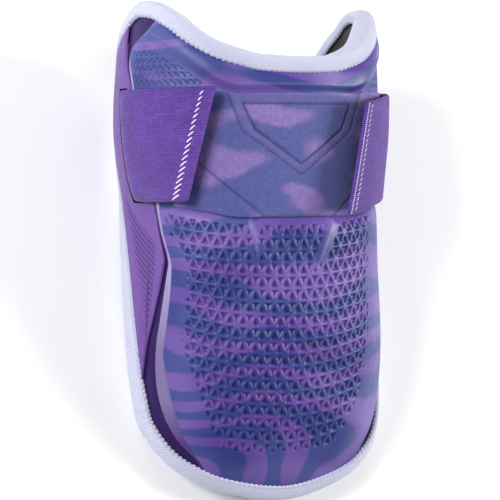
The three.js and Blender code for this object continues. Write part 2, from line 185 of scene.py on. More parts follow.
def lay_down(points):
    """Guard in the hand to guard on the table, in metres."""
    laid = turn_down(points) - LAID_AT
    laid[..., 2] = np.maximum(laid[..., 2], 0)
    return laid / 1000


def run_along(points):
    """Distance from the first of a line of points to each of them."""
    steps = np.linalg.norm(np.diff(points, axis=0), axis=-1)
    return np.concatenate([0 * steps[:1], np.cumsum(steps, axis=0)])


def arc_across(points):
    """Distance along each cross line of a grid from the middle of the front."""
    run, x = run_along(points), points[..., 0]
    nearest = np.argmin(abs(x), axis=0)[None]
    return run - (np.take_along_axis(run, nearest, 0) - np.take_along_axis(x, nearest, 0))


def flat_map(across, y):
    """Where each point lies once the piece is laid flat."""
    return np.stack(np.broadcast_arrays(across, y, 0.0 * y), -1)


def make_piece(name, points, faces, **marks):
    """A smooth mesh from points of the guard in the hand, with values or vectors marked on each point."""
    mesh = bpy.data.meshes.new(name)
    mesh.from_pydata(lay_down(points), [], faces)
    for mark, values in marks.items():
        kind, slot = ("FLOAT_VECTOR", "vector") if values.ndim == 2 else ("FLOAT", "value")
        mesh.attributes.new(mark, kind, "POINT").data.foreach_set(slot, values.astype(np.float32).ravel())
    mesh.shade_smooth()
    mesh.set_sharp_from_angle(angle=SHARP_EDGE)
    piece = bpy.data.objects.new(name, mesh)
    bpy.context.scene.collection.objects.link(piece)
    return piece


def quads(number):
    corners = [number[:-1, :-1], number[1:, :-1], number[1:, 1:], number[:-1, 1:]]
    return np.stack([corner.ravel() for corner in corners], -1).tolist()


def make_shell(name, top, under, every, **marks):
    """A closed piece between two grids of points. The under grid takes one point in every few."""
    number = np.arange(top.shape[0] * top.shape[1]).reshape(top.shape[:2])
    low = under[::every, ::every]
    low_number = number.size + np.arange(low.shape[0] * low.shape[1]).reshape(low.shape[:2])
    faces = quads(number) + [face[::-1] for face in quads(low_number)]
    edges = (
        (number[::-1, 0], low_number[::-1, 0]),
        (number[:, -1], low_number[:, -1]),
        (number[-1, ::-1], low_number[-1, ::-1]),
        (number[0, :], low_number[0, :]),
    )
    for fine, coarse in edges:
        for k in range(len(coarse) - 1):
            fine_part = fine[k * every:(k + 1) * every + 1].tolist()
            faces.append([*fine_part, int(coarse[k + 1]), int(coarse[k])])
    points = np.concatenate([top.reshape(-1, 3), low.reshape(-1, 3)])
    joined = {}
    for mark, values in marks.items():
        ends = values.shape[2:]
        values = np.broadcast_to(values, top.shape[:2] + ends)
        low_values = values[::every, ::every]
        joined[mark] = np.concatenate([values.reshape(-1, *ends), low_values.reshape(-1, *ends)])
    return make_piece(name, points, faces, **joined)


def strap_path(y):
    """Points that the strap's threads at these heights pass, from its right end to its left end."""
    slot = along(SLOT, "y", "angle", y)
    across = (y - STRAP_MIDDLE) / STRAP_WIDTH + 0.5
    back = mix(STRAP_BACK_LOW, STRAP_BACK_HIGH, across)
    inside = skin(STRAP_LEAVES[:, None], y[None, :], STRAP_INSIDE)[..., 2] <= back + STRAP_LEAVES_ABOVE
    inside[-1] = True
    leave = STRAP_LEAVES[np.argmax(inside, axis=0)]
    after = slot + SLOT_AFTER
    halves = []
    for tab in TABS:
        side = tab["side"]
        end, root = mix(tab["end_low"], tab["end_high"], across), slot - SLOT_BEFORE
        half = []
        for share in (0, 0.25, 0.5, 0.75, 1):
            left = (1 - share) ** 2
            lift = STRAP_OUTSIDE + tab["stand_off"] * left
            half.append(skin(side * mix(end, root, share), y + tab["shift"] * left, lift))
        half.append(skin(side * (slot - SLOT_HALF), y, SLOT_OUTSIDE))
        half.append(skin(side * (slot + SLOT_HALF), y, SLOT_INSIDE))
        for angle in (after, mix(after, leave, 0.55), leave):
            half.append(skin(side * angle, y, STRAP_INSIDE))
        wall_end = half[-1][:, 0]
        half.append(np.stack([wall_end - side * STRAP_BACK_BEND, y, back], -1))
        half.append(np.stack([wall_end * STRAP_BACK_SPAN, y, back], -1))
        halves.append(half)
    return np.stack(halves[0] + halves[1][::-1], 1)


def on_path(path, share):
    """Points and directions along smooth curves through a path's points, at shares of the way."""
    last = path.shape[1] - 1
    k = np.minimum((share * last).astype(int), last - 1)
    t = (share * last - k)[None, :, None]
    ends = [2 * path[:, :1] - path[:, 1:2], path, 2 * path[:, -1:] - path[:, -2:-1]]
    wide = np.concatenate(ends, 1)
    p0, p1, p2, p3 = (wide[:, k + n] for n in range(4))
    d0, d1, d2 = (np.linalg.norm(b - a, axis=-1, keepdims=True) ** 0.5
                  for a, b in ((p0, p1), (p1, p2), (p2, p3)))
    m1 = d1 * ((p1 - p0) / d0 - (p2 - p0) / (d0 + d1) + (p2 - p1) / d1)
    m2 = d1 * ((p2 - p1) / d1 - (p3 - p1) / (d1 + d2) + (p3 - p2) / d2)
    c2, c3 = -3 * p1 + 3 * p2 - 2 * m1 - m2, 2 * p1 - 2 * p2 + m1 + m2
    return p1 + m1 * t + c2 * t * t + c3 * t ** 3, m1 + 2 * c2 * t + 3 * c3 * t * t


def strap_faces(share, y, half_thick):
    """The strap's outer and inner face over a grid of shares of its run and heights."""
    middle, ahead = (part.swapaxes(0, 1) for part in on_path(strap_path(y), share))
    out = np.stack([-ahead[..., 2], 0 * ahead[..., 0], ahead[..., 0]], -1)
    out *= (half_thick / np.linalg.norm(out, axis=-1))[..., None]
    return middle + out, middle - out


strap_low, strap_high = STRAP_MIDDLE - STRAP_WIDTH / 2, STRAP_MIDDLE + STRAP_WIDTH / 2
slot_cutters = []
for start in (SLOT_FROM, 1 - SLOT_TO):
    run = np.linspace(start, start + SLOT_TO - SLOT_FROM, CUTTER_STEPS + 1)
    rows = np.linspace(strap_low - SLOT_ENDS, strap_high + SLOT_ENDS, CUTTER_ROWS + 1)
    cutter = make_shell("slot_cutter", *strap_faces(run, rows, STRAP_THICK / 2 + SLOT_CLEAR), 1)
    cut_face = cutter.data.attributes.new("cut", "FLOAT", "FACE")
    cut_face.data.foreach_set("value", np.ones(len(cutter.data.polygons), np.float32))
    slot_cutters.append(cutter)


def cut_slots(piece):
    """Both slots through a piece. The walls of the slots keep the mark of the cutter."""
    for cutter in slot_cutters:
        cut = piece.modifiers.new("slot", "BOOLEAN")
        cut.operation, cut.solver, cut.object = "DIFFERENCE", "MANIFOLD", cutter
    shaped = bpy.data.meshes.new_from_object(piece.evaluated_get(bpy.context.evaluated_depsgraph_get()))
    shaped.name = piece.name
    shaped.materials.clear()
    piece.modifiers.clear()
    piece.data = shaped
    piece.data.set_sharp_from_angle(angle=SHARP_EDGE)


def paint(red, green, blue):
    """A printed colour from 0 to 255 as the light that a shader takes."""
    return tuple(((c / 255 + 0.055) / 1.055) ** 2.4 for c in (red, green, blue)) + (1.0,)


def new_finish(name, roughness, **sockets):
    finish = bpy.data.materials.new(name)
    finish.use_nodes = True
    shader = finish.node_tree.nodes["Principled BSDF"]
    shader.inputs["Roughness"].default_value = roughness
    for socket, value in sockets.items():
        shader.inputs[socket.replace("_", " ").title().replace("Ior", "IOR")].default_value = value
    return finish, shader


def add(finish, kind, into, out=0, **settings):
    """A new node with its inputs set or linked. Gives the output that is asked for."""
    node = finish.node_tree.nodes.new("ShaderNode" + kind)
    for setting, value in settings.items():
        setattr(node, setting, value)
    for socket, value in into.items():
        if isinstance(value, bpy.types.NodeSocket):
            finish.node_tree.links.new(value, node.inputs[socket])
        else:
            node.inputs[socket].default_value = value
    return node.outputs[out]


def sums(finish, operation, *values):
    return add(finish, "Math", dict(enumerate(values)), operation=operation)


def spread(finish, value, low, high, to_low=0.0, to_high=1.0, smooth=False):
    ranges = {"Value": value, "From Min": low, "From Max": high, "To Min": to_low, "To Max": to_high}
    return add(finish, "MapRange", ranges, interpolation_type="SMOOTHSTEP" if smooth else "LINEAR")


def blend(finish, share, a, b, way="MIX"):
    return add(finish, "Mix", {0: share, 6: a, 7: b}, out=2, data_type="RGBA", blend_type=way)


def noise(finish, where, scale, detail=2.0, roughness=0.5):
    stretched = add(finish, "VectorMath", {0: where, 1: scale}, operation="MULTIPLY")
    sockets = {"Vector": stretched, "Scale": 1.0, "Detail": detail, "Roughness": roughness}
    return add(finish, "TexNoise", sockets)


def uneven(finish, where, scale, low, high, *grain):
    """A value that wanders between two others over the surface."""
    return spread(finish, noise(finish, where, scale, *grain), 0.3, 0.7, low, high)


def marked(finish, mark, out="Fac"):
    return add(finish, "Attribute", {}, out=out, attribute_name=mark)


def link(finish, value, shader, socket):
    finish.node_tree.links.new(value, shader.inputs[socket])


def emboss(finish, shader, height, depth_mm, strength=1.0):
    sockets = {"Height": height, "Distance": depth_mm / 1000, "Strength": strength}
    link(finish, add(finish, "Bump", sockets), shader, "Normal")


FILM_DARK, FILM_LIGHT = paint(37, 20, 74), paint(53, 34, 92)
FILM_CLOUD, FILM_SMEAR, FILM_GRAIN = (0.03, 0.03, 1), (0.2, 0.2, 1), (1.1, 1.1, 1)
FILM_GRAIN_DEPTH = 0.03
film, film_shader = new_finish("foam_film", 0.34, specular_ior_level=0.13, coat_weight=0.02,
                               coat_roughness=0.2)
film_at = marked(film, "unrolled", "Vector")
film_tone = blend(film, noise(film, film_at, FILM_CLOUD), FILM_DARK, FILM_LIGHT)
link(film, film_tone, film_shader, "Base Color")
link(film, uneven(film, film_at, FILM_SMEAR, 0.28, 0.42), film_shader, "Roughness")
emboss(film, film_shader, noise(film, film_at, FILM_GRAIN, 3), FILM_GRAIN_DEPTH)

foam_angle, foam_y = wrap(FOAM_COLUMNS, FOAM_ROWS)
crease_off = (abs(foam_angle) - along(CREASE, "y", "angle", foam_y)) * CREASE_DEGREE
crease = np.exp(-(crease_off / CREASE_HALF) ** 2) * ease(foam_y, *CREASE_BEGINS) * ease(foam_y, *CREASE_ENDS)
foam_top = skin(foam_angle, foam_y, -CREASE_DEPTH * crease)
foam_under = skin(foam_angle, foam_y, -foam_thickness(foam_angle))
foam_flat = flat_map(arc_across(foam_top), foam_y)
pad_base = make_shell("foam_body", foam_top, foam_under, 1, unrolled=foam_flat)
cut_slots(pad_base)
pad_base.data.materials.append(film)
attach(pad_base, "root")
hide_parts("pad_base")

# Lining
# Black knitted cloth over the whole inside of the foam, where the arm lies against it.
# It is cut to the foam's own outline, glued down and caught under the tape all round.
LINING_GAP = 0.4
LINING_THICK = 1.2
LINING_COLUMNS, LINING_ROWS = 144, 60
KNIT_PITCH, KNIT_LEAN, KNIT_DEPTH = 1.3, 1.4, 0.25
KNIT_FUZZ = (0.6, 0.6, 1)

lining_angle, lining_y = wrap(LINING_COLUMNS, LINING_ROWS)
lining_depth = foam_thickness(lining_angle) + LINING_GAP
lining_top = skin(lining_angle, lining_y, -lining_depth)
lining_under = skin(lining_angle, lining_y, -lining_depth - LINING_THICK)
lining_flat = flat_map(arc_across(lining_under), lining_y)
lining = make_shell("lining_cloth", lining_top, lining_under, 1, unrolled=lining_flat)
cut_slots(lining)


def laid_flat(finish):
    """A place on the piece laid flat, then its distance across and along."""
    at = marked(finish, "unrolled", "Vector")
    parts = add(finish, "SeparateXYZ", {0: at}).node.outputs
    return at, parts[0], parts[1]


def wave(finish, place, pitch):
    return sums(finish, "SINE", sums(finish, "MULTIPLY", place, 2 * math.pi / pitch))


LINING_BLACK, LINING_GREY = paint(15, 14, 16), paint(40, 38, 42)
knit, knit_shader = new_finish("knit_lining", 0.85, sheen_weight=0.25, sheen_roughness=0.5)
knit_at, knit_across, knit_along = laid_flat(knit)
wale = wave(knit, knit_across, KNIT_PITCH)
lean = sums(knit, "MULTIPLY", sums(knit, "ABSOLUTE", wale), KNIT_LEAN)
course = sums(knit, "SINE", sums(knit, "MULTIPLY_ADD", knit_along, 2 * math.pi / KNIT_PITCH, lean))
loops = sums(knit, "MULTIPLY_ADD", sums(knit, "MULTIPLY", wale, course), 0.5, 0.5)
fuzzy_loops = sums(knit, "MULTIPLY", loops, noise(knit, knit_at, KNIT_FUZZ, 3))
link(knit, blend(knit, fuzzy_loops, LINING_BLACK, LINING_GREY), knit_shader, "Base Color")
emboss(knit, knit_shader, loops, KNIT_DEPTH)
lining.data.materials.append(knit)
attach(lining, "root")
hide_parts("lining")

# Side panels
# A purple panel of thin covered foam glued on each side of the body, between the front cap and the tape.
# Fine slanting ribs are pressed into its lower half, their grooves coloured darker as painted shade. The
# strap's slot runs through its upper half, and its cut walls are coloured dark like the foam film: partly the
# bare foam edge, partly painted shade of the slot.
LEG_TOP = {"angle": (0, 65, 85, 110, WRAP_ANGLE), "leg": (5.6, 5.6, 5.6, 6.8, 7.2)}
LEG_BOTTOM = {
    "angle": (0, 25, 40, 54, 60, 65, 70, 75, 80, 86, 92, 98, 112, WRAP_ANGLE),
    "leg": (6, 5.6, 5.4, 5.2, 5.5, 6.1, 6.8, 7.8, 8.6, 9.4, 9.4, 8.8, 7.8, 7.2),
}
RIM_FINE = 400
SEAM_STATIONS = 800
SEAM_GAP = -0.45
PANEL_UNDER = 0.3
PANEL_RIM, PANEL_TOP = 0.9, 1.85
PANEL_ROUND = 2.6
PANEL_BEND = 63.7
PANEL_REAR_GAP = 0.8
PANEL_DEGREE = 1.02
PANEL_ABOVE = {
    "angle": (63.4, 65.6, 67.3, 68.9, 70.2, 77.6, 85, 88, 90.5, 91.6, 92.6, 126),
    "y": (-1.8, 5.4, 11.4, 18.5, 24.1, 50, 77.4, 83, 88.5, 96, 106, 130),
}
PANEL_BELOW = {
    "angle": (63.4, 64.4, 65.8, 67.1, 68.2, 69.5, 70.6, 71.6, 72.2, 72.7, 73.6, 126),
    "y": (-1.8, -6.7, -14.4, -19.6, -24.7, -29.9, -34.5, -38.4, -43.6, -52.4, -60, -130),
}
PANEL_COLUMNS, PANEL_ROWS = 160, 360
PANEL_FINE_ANGLES, PANEL_FINE_HEIGHTS = (66, 91, 2.6), (-46, 22, 4)
RIB_PITCH, RIB_SLOPE = 2.5, 0.73
RIB_DEPTH, RIB_HALF = 0.55, 0.6
RIB_FROM = 72
RIB_REAR, RIB_REAR_LEAN, RIB_REAR_BEND = 76, 0.455, -16
RIB_FRONT, RIB_FRONT_LEAN, RIB_FRONT_BEND = 69.3, 0.08, -5
RIB_FIRST_ARC, RIB_FIRST_Y = 80, 13.6
RIB_FADE = (-46, -16)


def rim(count):
    """Evenly spaced points round the rim, with the step in angle and height that leads outward."""
    k = np.concatenate([np.arange(RIM_FINE + 1), np.arange(RIM_FINE, -RIM_FINE, -1), np.arange(-RIM_FINE, 1)])
    upper = np.concatenate([np.ones(RIM_FINE + 1), np.zeros(2 * RIM_FINE), np.ones(RIM_FINE + 1)])
    angle = WRAP_ANGLE * np.sin(np.pi / 2 * k / RIM_FINE)
    y = np.where(upper, top_edge(angle), bottom_edge(angle))
    leg_top, leg_bottom = (along(table, "angle", "leg", abs(angle)) for table in (LEG_TOP, LEG_BOTTOM))
    leg = np.where(upper, leg_top, leg_bottom)
    run = run_along(face_point(angle, y))
    goal = run[-1] * np.arange(count) / count
    angle, y, leg = (np.interp(goal, run, values) for values in (angle, y, leg))
    points = face_point(angle, y)
    turn, ahead, normal = face_slopes(angle, y)
    out = np.cross(normal, np.roll(points, -1, 0) - np.roll(points, 1, 0))
    out /= np.linalg.norm(out, axis=-1, keepdims=True)
    tt, ta, aa = ((a * b).sum(-1) for a, b in ((turn, turn), (turn, ahead), (ahead, ahead)))
    ot, oa = (out * turn).sum(-1), (out * ahead).sum(-1)
    size = tt * aa - ta * ta
    return angle, y, (ot * aa - oa * ta) / size, (oa * tt - ot * ta) / size, leg, goal, run[-1]


rim_angle, rim_y, rim_turn, rim_ahead, rim_leg, _, _ = rim(SEAM_STATIONS)
right_half = slice(SEAM_STATIONS // 2 + 1)
seam_angle = (rim_angle - rim_turn * (rim_leg + SEAM_GAP))[right_half]
seam_y = (rim_y - rim_ahead * (rim_leg + SEAM_GAP))[right_half]
seam_tip = int(np.argmax(seam_angle))
panel_rear = seam_angle[seam_tip] - PANEL_REAR_GAP


def seam_top(angle):
    """Where the tape's leg ends, along the upper rim."""
    return np.interp(abs(angle), seam_angle[:seam_tip + 1], seam_y[:seam_tip + 1])


def seam_bottom(angle):
    """Where the tape's leg ends, along the lower rim."""
    return np.interp(abs(angle), seam_angle[seam_tip:][::-1], seam_y[seam_tip:][::-1])


def crowded(low, high, share, near, far, times):
    """Values from low to high that lie so many times closer together between near and far."""
    fine = np.linspace(-140, 140, 2801)
    run = np.concatenate([[0], np.cumsum(np.where((fine[1:] > near) & (fine[1:] < far), times, 1.0))])
    return np.interp(mix(np.interp(low, fine, run), np.interp(high, fine, run), share), run, fine)


def rib_field(arc, y):
    """How deep the pressed ribs are, from 0 to 1, at a distance round the side and a height."""
    phase = (y - RIB_SLOPE * (arc - RIB_FROM)) / RIB_PITCH
    off = abs(phase - np.round(phase)) * RIB_PITCH
    rear = np.maximum(RIB_REAR + (y - RIB_REAR_BEND) * RIB_REAR_LEAN, RIB_REAR)
    front = RIB_FRONT + RIB_FRONT_LEAN * np.maximum(RIB_FRONT_BEND - y, 0)
    first = RIB_FIRST_Y + RIB_SLOPE * (arc - RIB_FIRST_ARC)
    inside = ease(arc - front, 0, 1.5) * ease(rear - arc, -3, 2.5)
    return np.exp(-(off / RIB_HALF) ** 2) * inside * ease(y, *RIB_FADE) * ease(first - y, 0, 0.6)


def rounded(inset, radius):
    """How far a rounded edge has risen, from 0 to 1, at a distance in from it."""
    return np.sqrt(1 - (1 - np.clip(inset / radius, 0, 1)) ** 2)


def tint(finish, tone, mark, share, colour):
    """A tone that goes over to another colour, by a share, where the piece is marked."""
    return blend(finish, sums(finish, "MULTIPLY", marked(finish, mark), share), tone, colour)


def crossed(finish, across, weft, lengthways, warp):
    """Threads that cross at two pitches, from -1 to 1."""
    return sums(finish, "MULTIPLY", wave(finish, across, weft), wave(finish, lengthways, warp))


PANEL_LIGHT, PANEL_DEEP, PANEL_GROOVE_PAINTED_SHADE = paint(115, 79, 158), paint(92, 57, 135), paint(52, 27, 94)
COVER_CLOUD, COVER_SMEAR = (0.035, 0.02, 1), (0.4, 0.4, 1)
COVER_THREAD, COVER_THREAD_DEPTH = 0.7, 0.05
cover, cover_shader = new_finish("panel_cover", 0.5, specular_ior_level=0.35, sheen_weight=0.1,
                                 sheen_roughness=0.4)
cover_at, cover_across, cover_along = laid_flat(cover)
cover_tone = blend(cover, noise(cover, cover_at, COVER_CLOUD, 3), PANEL_DEEP, PANEL_LIGHT)
# Painted shade: the pressed rib grooves are coloured darker.
cover_tone = tint(cover, cover_tone, "rib", 0.85, PANEL_GROOVE_PAINTED_SHADE)
# Slot walls take the dark foam film colour: partly the bare foam's edge, partly painted shade in the slot.
link(cover, blend(cover, marked(cover, "cut"), cover_tone, FILM_DARK), cover_shader, "Base Color")
link(cover, uneven(cover, cover_at, COVER_SMEAR, 0.42, 0.56), cover_shader, "Roughness")
cover_weave = crossed(cover, cover_across, COVER_THREAD, cover_along, COVER_THREAD)
emboss(cover, cover_shader, cover_weave, COVER_THREAD_DEPTH, 0.7)

for side, hand in ((-1, "left"), (1, "right")):
    share = np.linspace(0, 1, PANEL_COLUMNS + 1)[:, None]
    angle = crowded(PANEL_BEND, panel_rear, share if side > 0 else 1 - share, *PANEL_FINE_ANGLES)
    low = np.maximum(seam_bottom(angle), along(PANEL_BELOW, "angle", "y", angle))
    high = np.minimum(seam_top(angle), along(PANEL_ABOVE, "angle", "y", angle))
    y = crowded(low, high, np.linspace(0, 1, PANEL_ROWS + 1)[None, :], *PANEL_FINE_HEIGHTS)
    angle = side * angle + 0 * y
    plain = skin(angle, y, PANEL_TOP)
    slant = np.gradient(y, axis=0) / np.linalg.norm(np.gradient(plain, axis=0), axis=-1)
    across_edge = np.sqrt(np.maximum(1 - slant ** 2, 0.05))
    inset = np.minimum(y - low, high - y) * across_edge
    arc = abs(angle) * PANEL_DEGREE
    rib = rib_field(arc, y)
    lift = mix(PANEL_RIM, PANEL_TOP, rounded(inset, PANEL_ROUND)) - RIB_DEPTH * rib
    panel_top, panel_under = skin(angle, y, lift), skin(angle, y, PANEL_UNDER)
    panel_flat = flat_map(arc * side, y)
    panel = make_shell("side_panel_" + hand, panel_top, panel_under, 4, unrolled=panel_flat, rib=rib)
    cut_slots(panel)
    panel.data.materials.append(cover)
    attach(panel, "root")
    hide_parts("wing_" + hand)

for cutter in slot_cutters:
    bpy.data.objects.remove(cutter)

# Front cap
# A thick moulded plate of foam under printed satin film, glued to the front of the body with a bevelled edge.
# A channel for the strap's ends crosses it under a raised collar. A field of small triangular dimples is
# pressed into the plate below, where two short darts take up the curve.
CAP_UNDER = 0.5
CAP_FOOT = 1.1
CAP_FLOOR = 1.5
CAP_SIDE_DROP = 0.46
CAP_SIDE = {
    "y": (-98, -92, -88, -84, -78, -72, -64, -57, -50, -44, -38, -30, -22, -14, -7, -3, 0, 5.5, 11.5, 18.5,
          24.2, 50, 77.4, 83, 87, 92, 96.5, 100, 104.5),
    "foot": (45, 47.1, 50.4, 54.2, 58.2, 61.3, 64.1, 65.7, 66.5, 66.8, 66.6, 65.5, 64.4, 63.3, 62.4, 61.9,
             62.4, 64.3, 66.4, 68.2, 69.5, 76.6, 83.6, 85.9, 87.4, 86.4, 81.5, 76, 70.8),
    "face": (42.3, 45.4, 47.4, 48.9, 50.8, 52.6, 54.8, 56.8, 59, 60.8, 61.8, 61.1, 60.2, 59.5, 59.2, 59.2,
             59.7, 61.6, 63.5, 65.4, 66.9, 74.6, 81.8, 84.3, 85.6, 84.2, 78.9, 73.4, 68),
}
CHANNEL_LOW = {"angle": (0, 30, 44, 58, 70, 90), "y": (17.2, 17.2, 19.6, 22, 24, 26)}
COLLAR = {
    "angle": (0, 20, 30, 36, 45, 55, 65, 75, 90),
    "foot": (73.6, 73.4, 73, 74, 78.5, 85.5, 91.5, 96, 100),
    "ridge": (77.2, 77, 76.8, 78, 83.5, 90.5, 96.5, 101, 105),
}
PLATE_HEIGHT = {
    "share": (0, 0.05, 0.11, 0.19, 0.3, 0.88, 0.945, 0.972, 0.988, 1),
    "height": (1.2, 2.7, 4, 4.8, 5, 5, 4.7, 4.1, 3.3, 2.3),
}
COLLAR_HEIGHT = {"share": (0, 0.25, 0.55, 0.8, 1), "height": (1.5, 2.0, 3.1, 3.9, 4.3)}
BROW_HEIGHT = {"share": (0, 0.12, 0.3, 0.7, 0.9, 1), "height": (4.3, 4.35, 4.3, 3.7, 2.4, 1.2)}
BROW_MIDDLE, BROW_MIDDLE_TOP = 2.6, 1.7
BROW_MIDDLE_ENDS = (20, 40)
BROW_LEAST = 1.5
BEVEL_ROUND, BEVEL_EASE = 0.22, 0.35
CAP_FACE_COLUMNS, CAP_EDGE_COLUMNS = 272, 8
PLATE, FLOOR, SLOPE, BROW = range(4)
# For each of these bands, upward: runs of cross lines from one share of its height to another, and how many.
CAP_ROWS = (
    ((0, 0.1, 13), (0.1, 0.955, 205), (0.955, 1, 13)),
    ((0.012, 0.62, 13), (0.62, 0.995, 47)),
    ((0.12, 1, 11),),
    ((0.08, 1, 14),),
)
DIMPLE_BASE, DIMPLE_ROW = 5.7, 5.75
DIMPLE_WALL, DIMPLE_WALL_SMALL = 0.68, 2.1
DIMPLE_DEPTH, DIMPLE_SLOPE = 0.85, (-0.3, 0.5)
DIMPLE_FROM = 9.3
DIMPLE_GROWS = (-3.2, 2.4)
DIMPLE_BEND_HIGH, DIMPLE_BEND_LOW, DIMPLE_BEND_AT = 0.0014, 0.0032, -6
DIMPLE_FIELD_LOW, DIMPLE_FIELD_HIGH = -86.5, 14.6
DIMPLE_FIELD = {
    "y": (-92, -84, -80, -76, -69, -63, -59, -53, -47, -41, -35, -25, -19, -12, -6, -1, 5, 9, 16),
    "left": (-31, -34, -38, -40.5, -43.5, -46, -47, -50, -52.5, -55.5, -56.5, -55.5, -54.5, -54, -53.5, -55,
             -58.5, -62.5, -67),
    "right": (18, 22, 25, 27, 31, 34, 35, 36.5, 38.2, 39, 40.5, 41, 40, 39, 40, 41.5, 41, 41.5, 43),
}
CORNER_BASE, CORNER_ROW, CORNER_DEPTH = 3.6, 3.3, 0.45
CORNER_FROM_ANGLE, CORNER_FROM_Y = (39, 45), (73, 76)
DARTS = (
    {"start": (-24.4, 17.5), "end": (-22.1, 1.5), "wide": 2.1, "narrow": 0.5},
    {"start": (16.3, 17), "end": (6.6, -5.2), "wide": 4.2, "narrow": 0.6},
)
DART_HEIGHT, DART_CLEAR = 0.7, 0.6


def near_line(x, y, start, end):
    """Distance from a straight line between two points, and the share of the way along it."""
    (x0, y0), (x1, y1) = start, end
    long = math.hypot(x1 - x0, y1 - y0)
    share = np.clip(((x - x0) * (x1 - x0) + (y - y0) * (y1 - y0)) / long ** 2, 0, 1)
    return np.hypot(x - mix(x0, x1, share), y - mix(y0, y1, share)), share


def row_bend(x, y):
    """How far a row of dimples has risen, from the middle of the plate toward its sides."""
    return mix(DIMPLE_BEND_HIGH, DIMPLE_BEND_LOW, ease(-y, -10, 60)) * (x - DIMPLE_BEND_AT) ** 2


def field_clear(x, y):
    """Distance into the field of dimples from its border and from the darts."""
    left, right = (along(DIMPLE_FIELD, "y", border, y) for border in ("left", "right"))
    top = DIMPLE_FIELD_HIGH + DIMPLE_BEND_HIGH * (x - DIMPLE_BEND_AT) ** 2
    clear = np.minimum(np.minimum(x - left, right - x), np.minimum(y - DIMPLE_FIELD_LOW, top - y))
    for dart in DARTS:
        off, share = near_line(x, y, dart["start"], dart["end"])
        clear = np.minimum(clear, off - mix(dart["wide"], dart["narrow"], share) - DART_CLEAR)
    return clear


def triangles(x, row_at, base, tall):
    """The row and number of each point's triangle, whether it points up, and how far in the point lies."""
    row = np.floor(row_at)
    up = row_at - row
    column_at = x / base - row / 2
    falling, rising = column_at - up / 2, column_at + up / 2
    number = np.floor(falling)
    points_up = number == np.floor(rising)
    slant = base * tall / math.hypot(tall, base / 2)
    to_sides = np.minimum(abs(falling - np.round(falling)), abs(rising - np.round(rising))) * slant
    to_level = np.where(points_up, up, 1 - up) * tall
    return row, number, points_up, np.minimum(to_sides, to_level)


def dimples(x, y):
    """Depth of the triangular dimples, from 0 to 1, over the unrolled plate."""
    row_at = (y - row_bend(x, y) - DIMPLE_FROM) / DIMPLE_ROW
    row, number, points_up, inside = triangles(x, row_at, DIMPLE_BASE, DIMPLE_ROW)
    middle_x = (number + np.where(points_up, 0.5, 1) + row / 2) * DIMPLE_BASE
    middle_y = (row + np.where(points_up, 1 / 3, 2 / 3)) * DIMPLE_ROW + DIMPLE_FROM + row_bend(middle_x, y)
    grown = ease(field_clear(middle_x, middle_y), *DIMPLE_GROWS)
    wall = mix(DIMPLE_WALL_SMALL, DIMPLE_WALL, grown)
    return ease(inside - wall, *DIMPLE_SLOPE) * ease(grown, 0.02, 0.25)


cap_rows = []
for runs in CAP_ROWS:
    parts = [np.linspace(low, high, count, endpoint=False) for low, high, count in runs]
    cap_rows.append(np.concatenate([*parts, [runs[-1][1]]]))
cap_share = np.concatenate(cap_rows)
cap_band = np.repeat(np.arange(len(cap_rows)), [len(row) for row in cap_rows])
spare = np.linspace(30, 190, (len(cap_band) - 1) % 4).astype(int)
cap_band, cap_share = np.delete(cap_band, spare), np.delete(cap_share, spare)


def cap_y(band, share, angle):
    """Height of a cross line of the cap at an angle."""
    ridge = along(COLLAR, "angle", "ridge", abs(angle))
    guides = [
        seam_bottom(angle),
        along(CHANNEL_LOW, "angle", "y", abs(angle)),
        along(COLLAR, "angle", "foot", abs(angle)),
        np.minimum(ridge, seam_top(angle) - BROW_LEAST),
        seam_top(angle),
    ]
    return mix(np.choose(band, guides[:4]), np.choose(band, guides[1:]), share)


cap_foot = np.full(len(cap_band), 60.0)
for _ in range(14):
    cap_foot = along(CAP_SIDE, "y", "foot", cap_y(cap_band, cap_share, cap_foot))
cap_face = along(CAP_SIDE, "y", "face", cap_y(cap_band, cap_share, cap_foot))

face_step = np.linspace(-1, 1, CAP_FACE_COLUMNS + 1)
edge_step = np.linspace(0, 1, CAP_EDGE_COLUMNS + 1)[1:]
step = np.concatenate([-1 - edge_step[::-1], face_step, 1 + edge_step])[:, None]
past_face = np.maximum(abs(step) - 1, 0)
on_face, over_edge = np.clip(step, -1, 1), np.sign(step) * past_face
cap_angle = on_face * cap_face[None, :] + over_edge * (cap_foot - cap_face)[None, :]
band_grid = np.broadcast_to(cap_band[None, :], cap_angle.shape)
share_grid = np.broadcast_to(cap_share[None, :], cap_angle.shape)
cap_height_y = cap_y(band_grid, share_grid, cap_angle)
row_height = np.choose(cap_band, [
    along(PLATE_HEIGHT, "share", "height", cap_share),
    np.full(len(cap_share), CAP_FLOOR),
    along(COLLAR_HEIGHT, "share", "height", cap_share),
    along(BROW_HEIGHT, "share", "height", cap_share),
])
middle_height = np.choose(cap_band, [
    row_height,
    row_height,
    mix(CAP_FLOOR, BROW_MIDDLE, ease(cap_share, 0, 1)),
    mix(BROW_MIDDLE, BROW_MIDDLE_TOP, cap_share),
])
side_fall = CAP_SIDE_DROP * ease(abs(on_face), 0.5, 1)
in_middle = 1 - ease(abs(cap_angle), *BROW_MIDDLE_ENDS)
face_height = mix(row_height[None, :], middle_height[None, :], in_middle) * (1 - side_fall)
round_top = BEVEL_EASE * past_face ** 2 / BEVEL_ROUND
bevel = np.where(past_face < BEVEL_ROUND, round_top, past_face - BEVEL_ROUND * (1 - BEVEL_EASE))
bevel = np.clip(bevel / (1 - BEVEL_ROUND * (1 - BEVEL_EASE)), 0, 1)
cap_lift = mix(np.maximum(CAP_FOOT, face_height), CAP_FOOT, bevel)

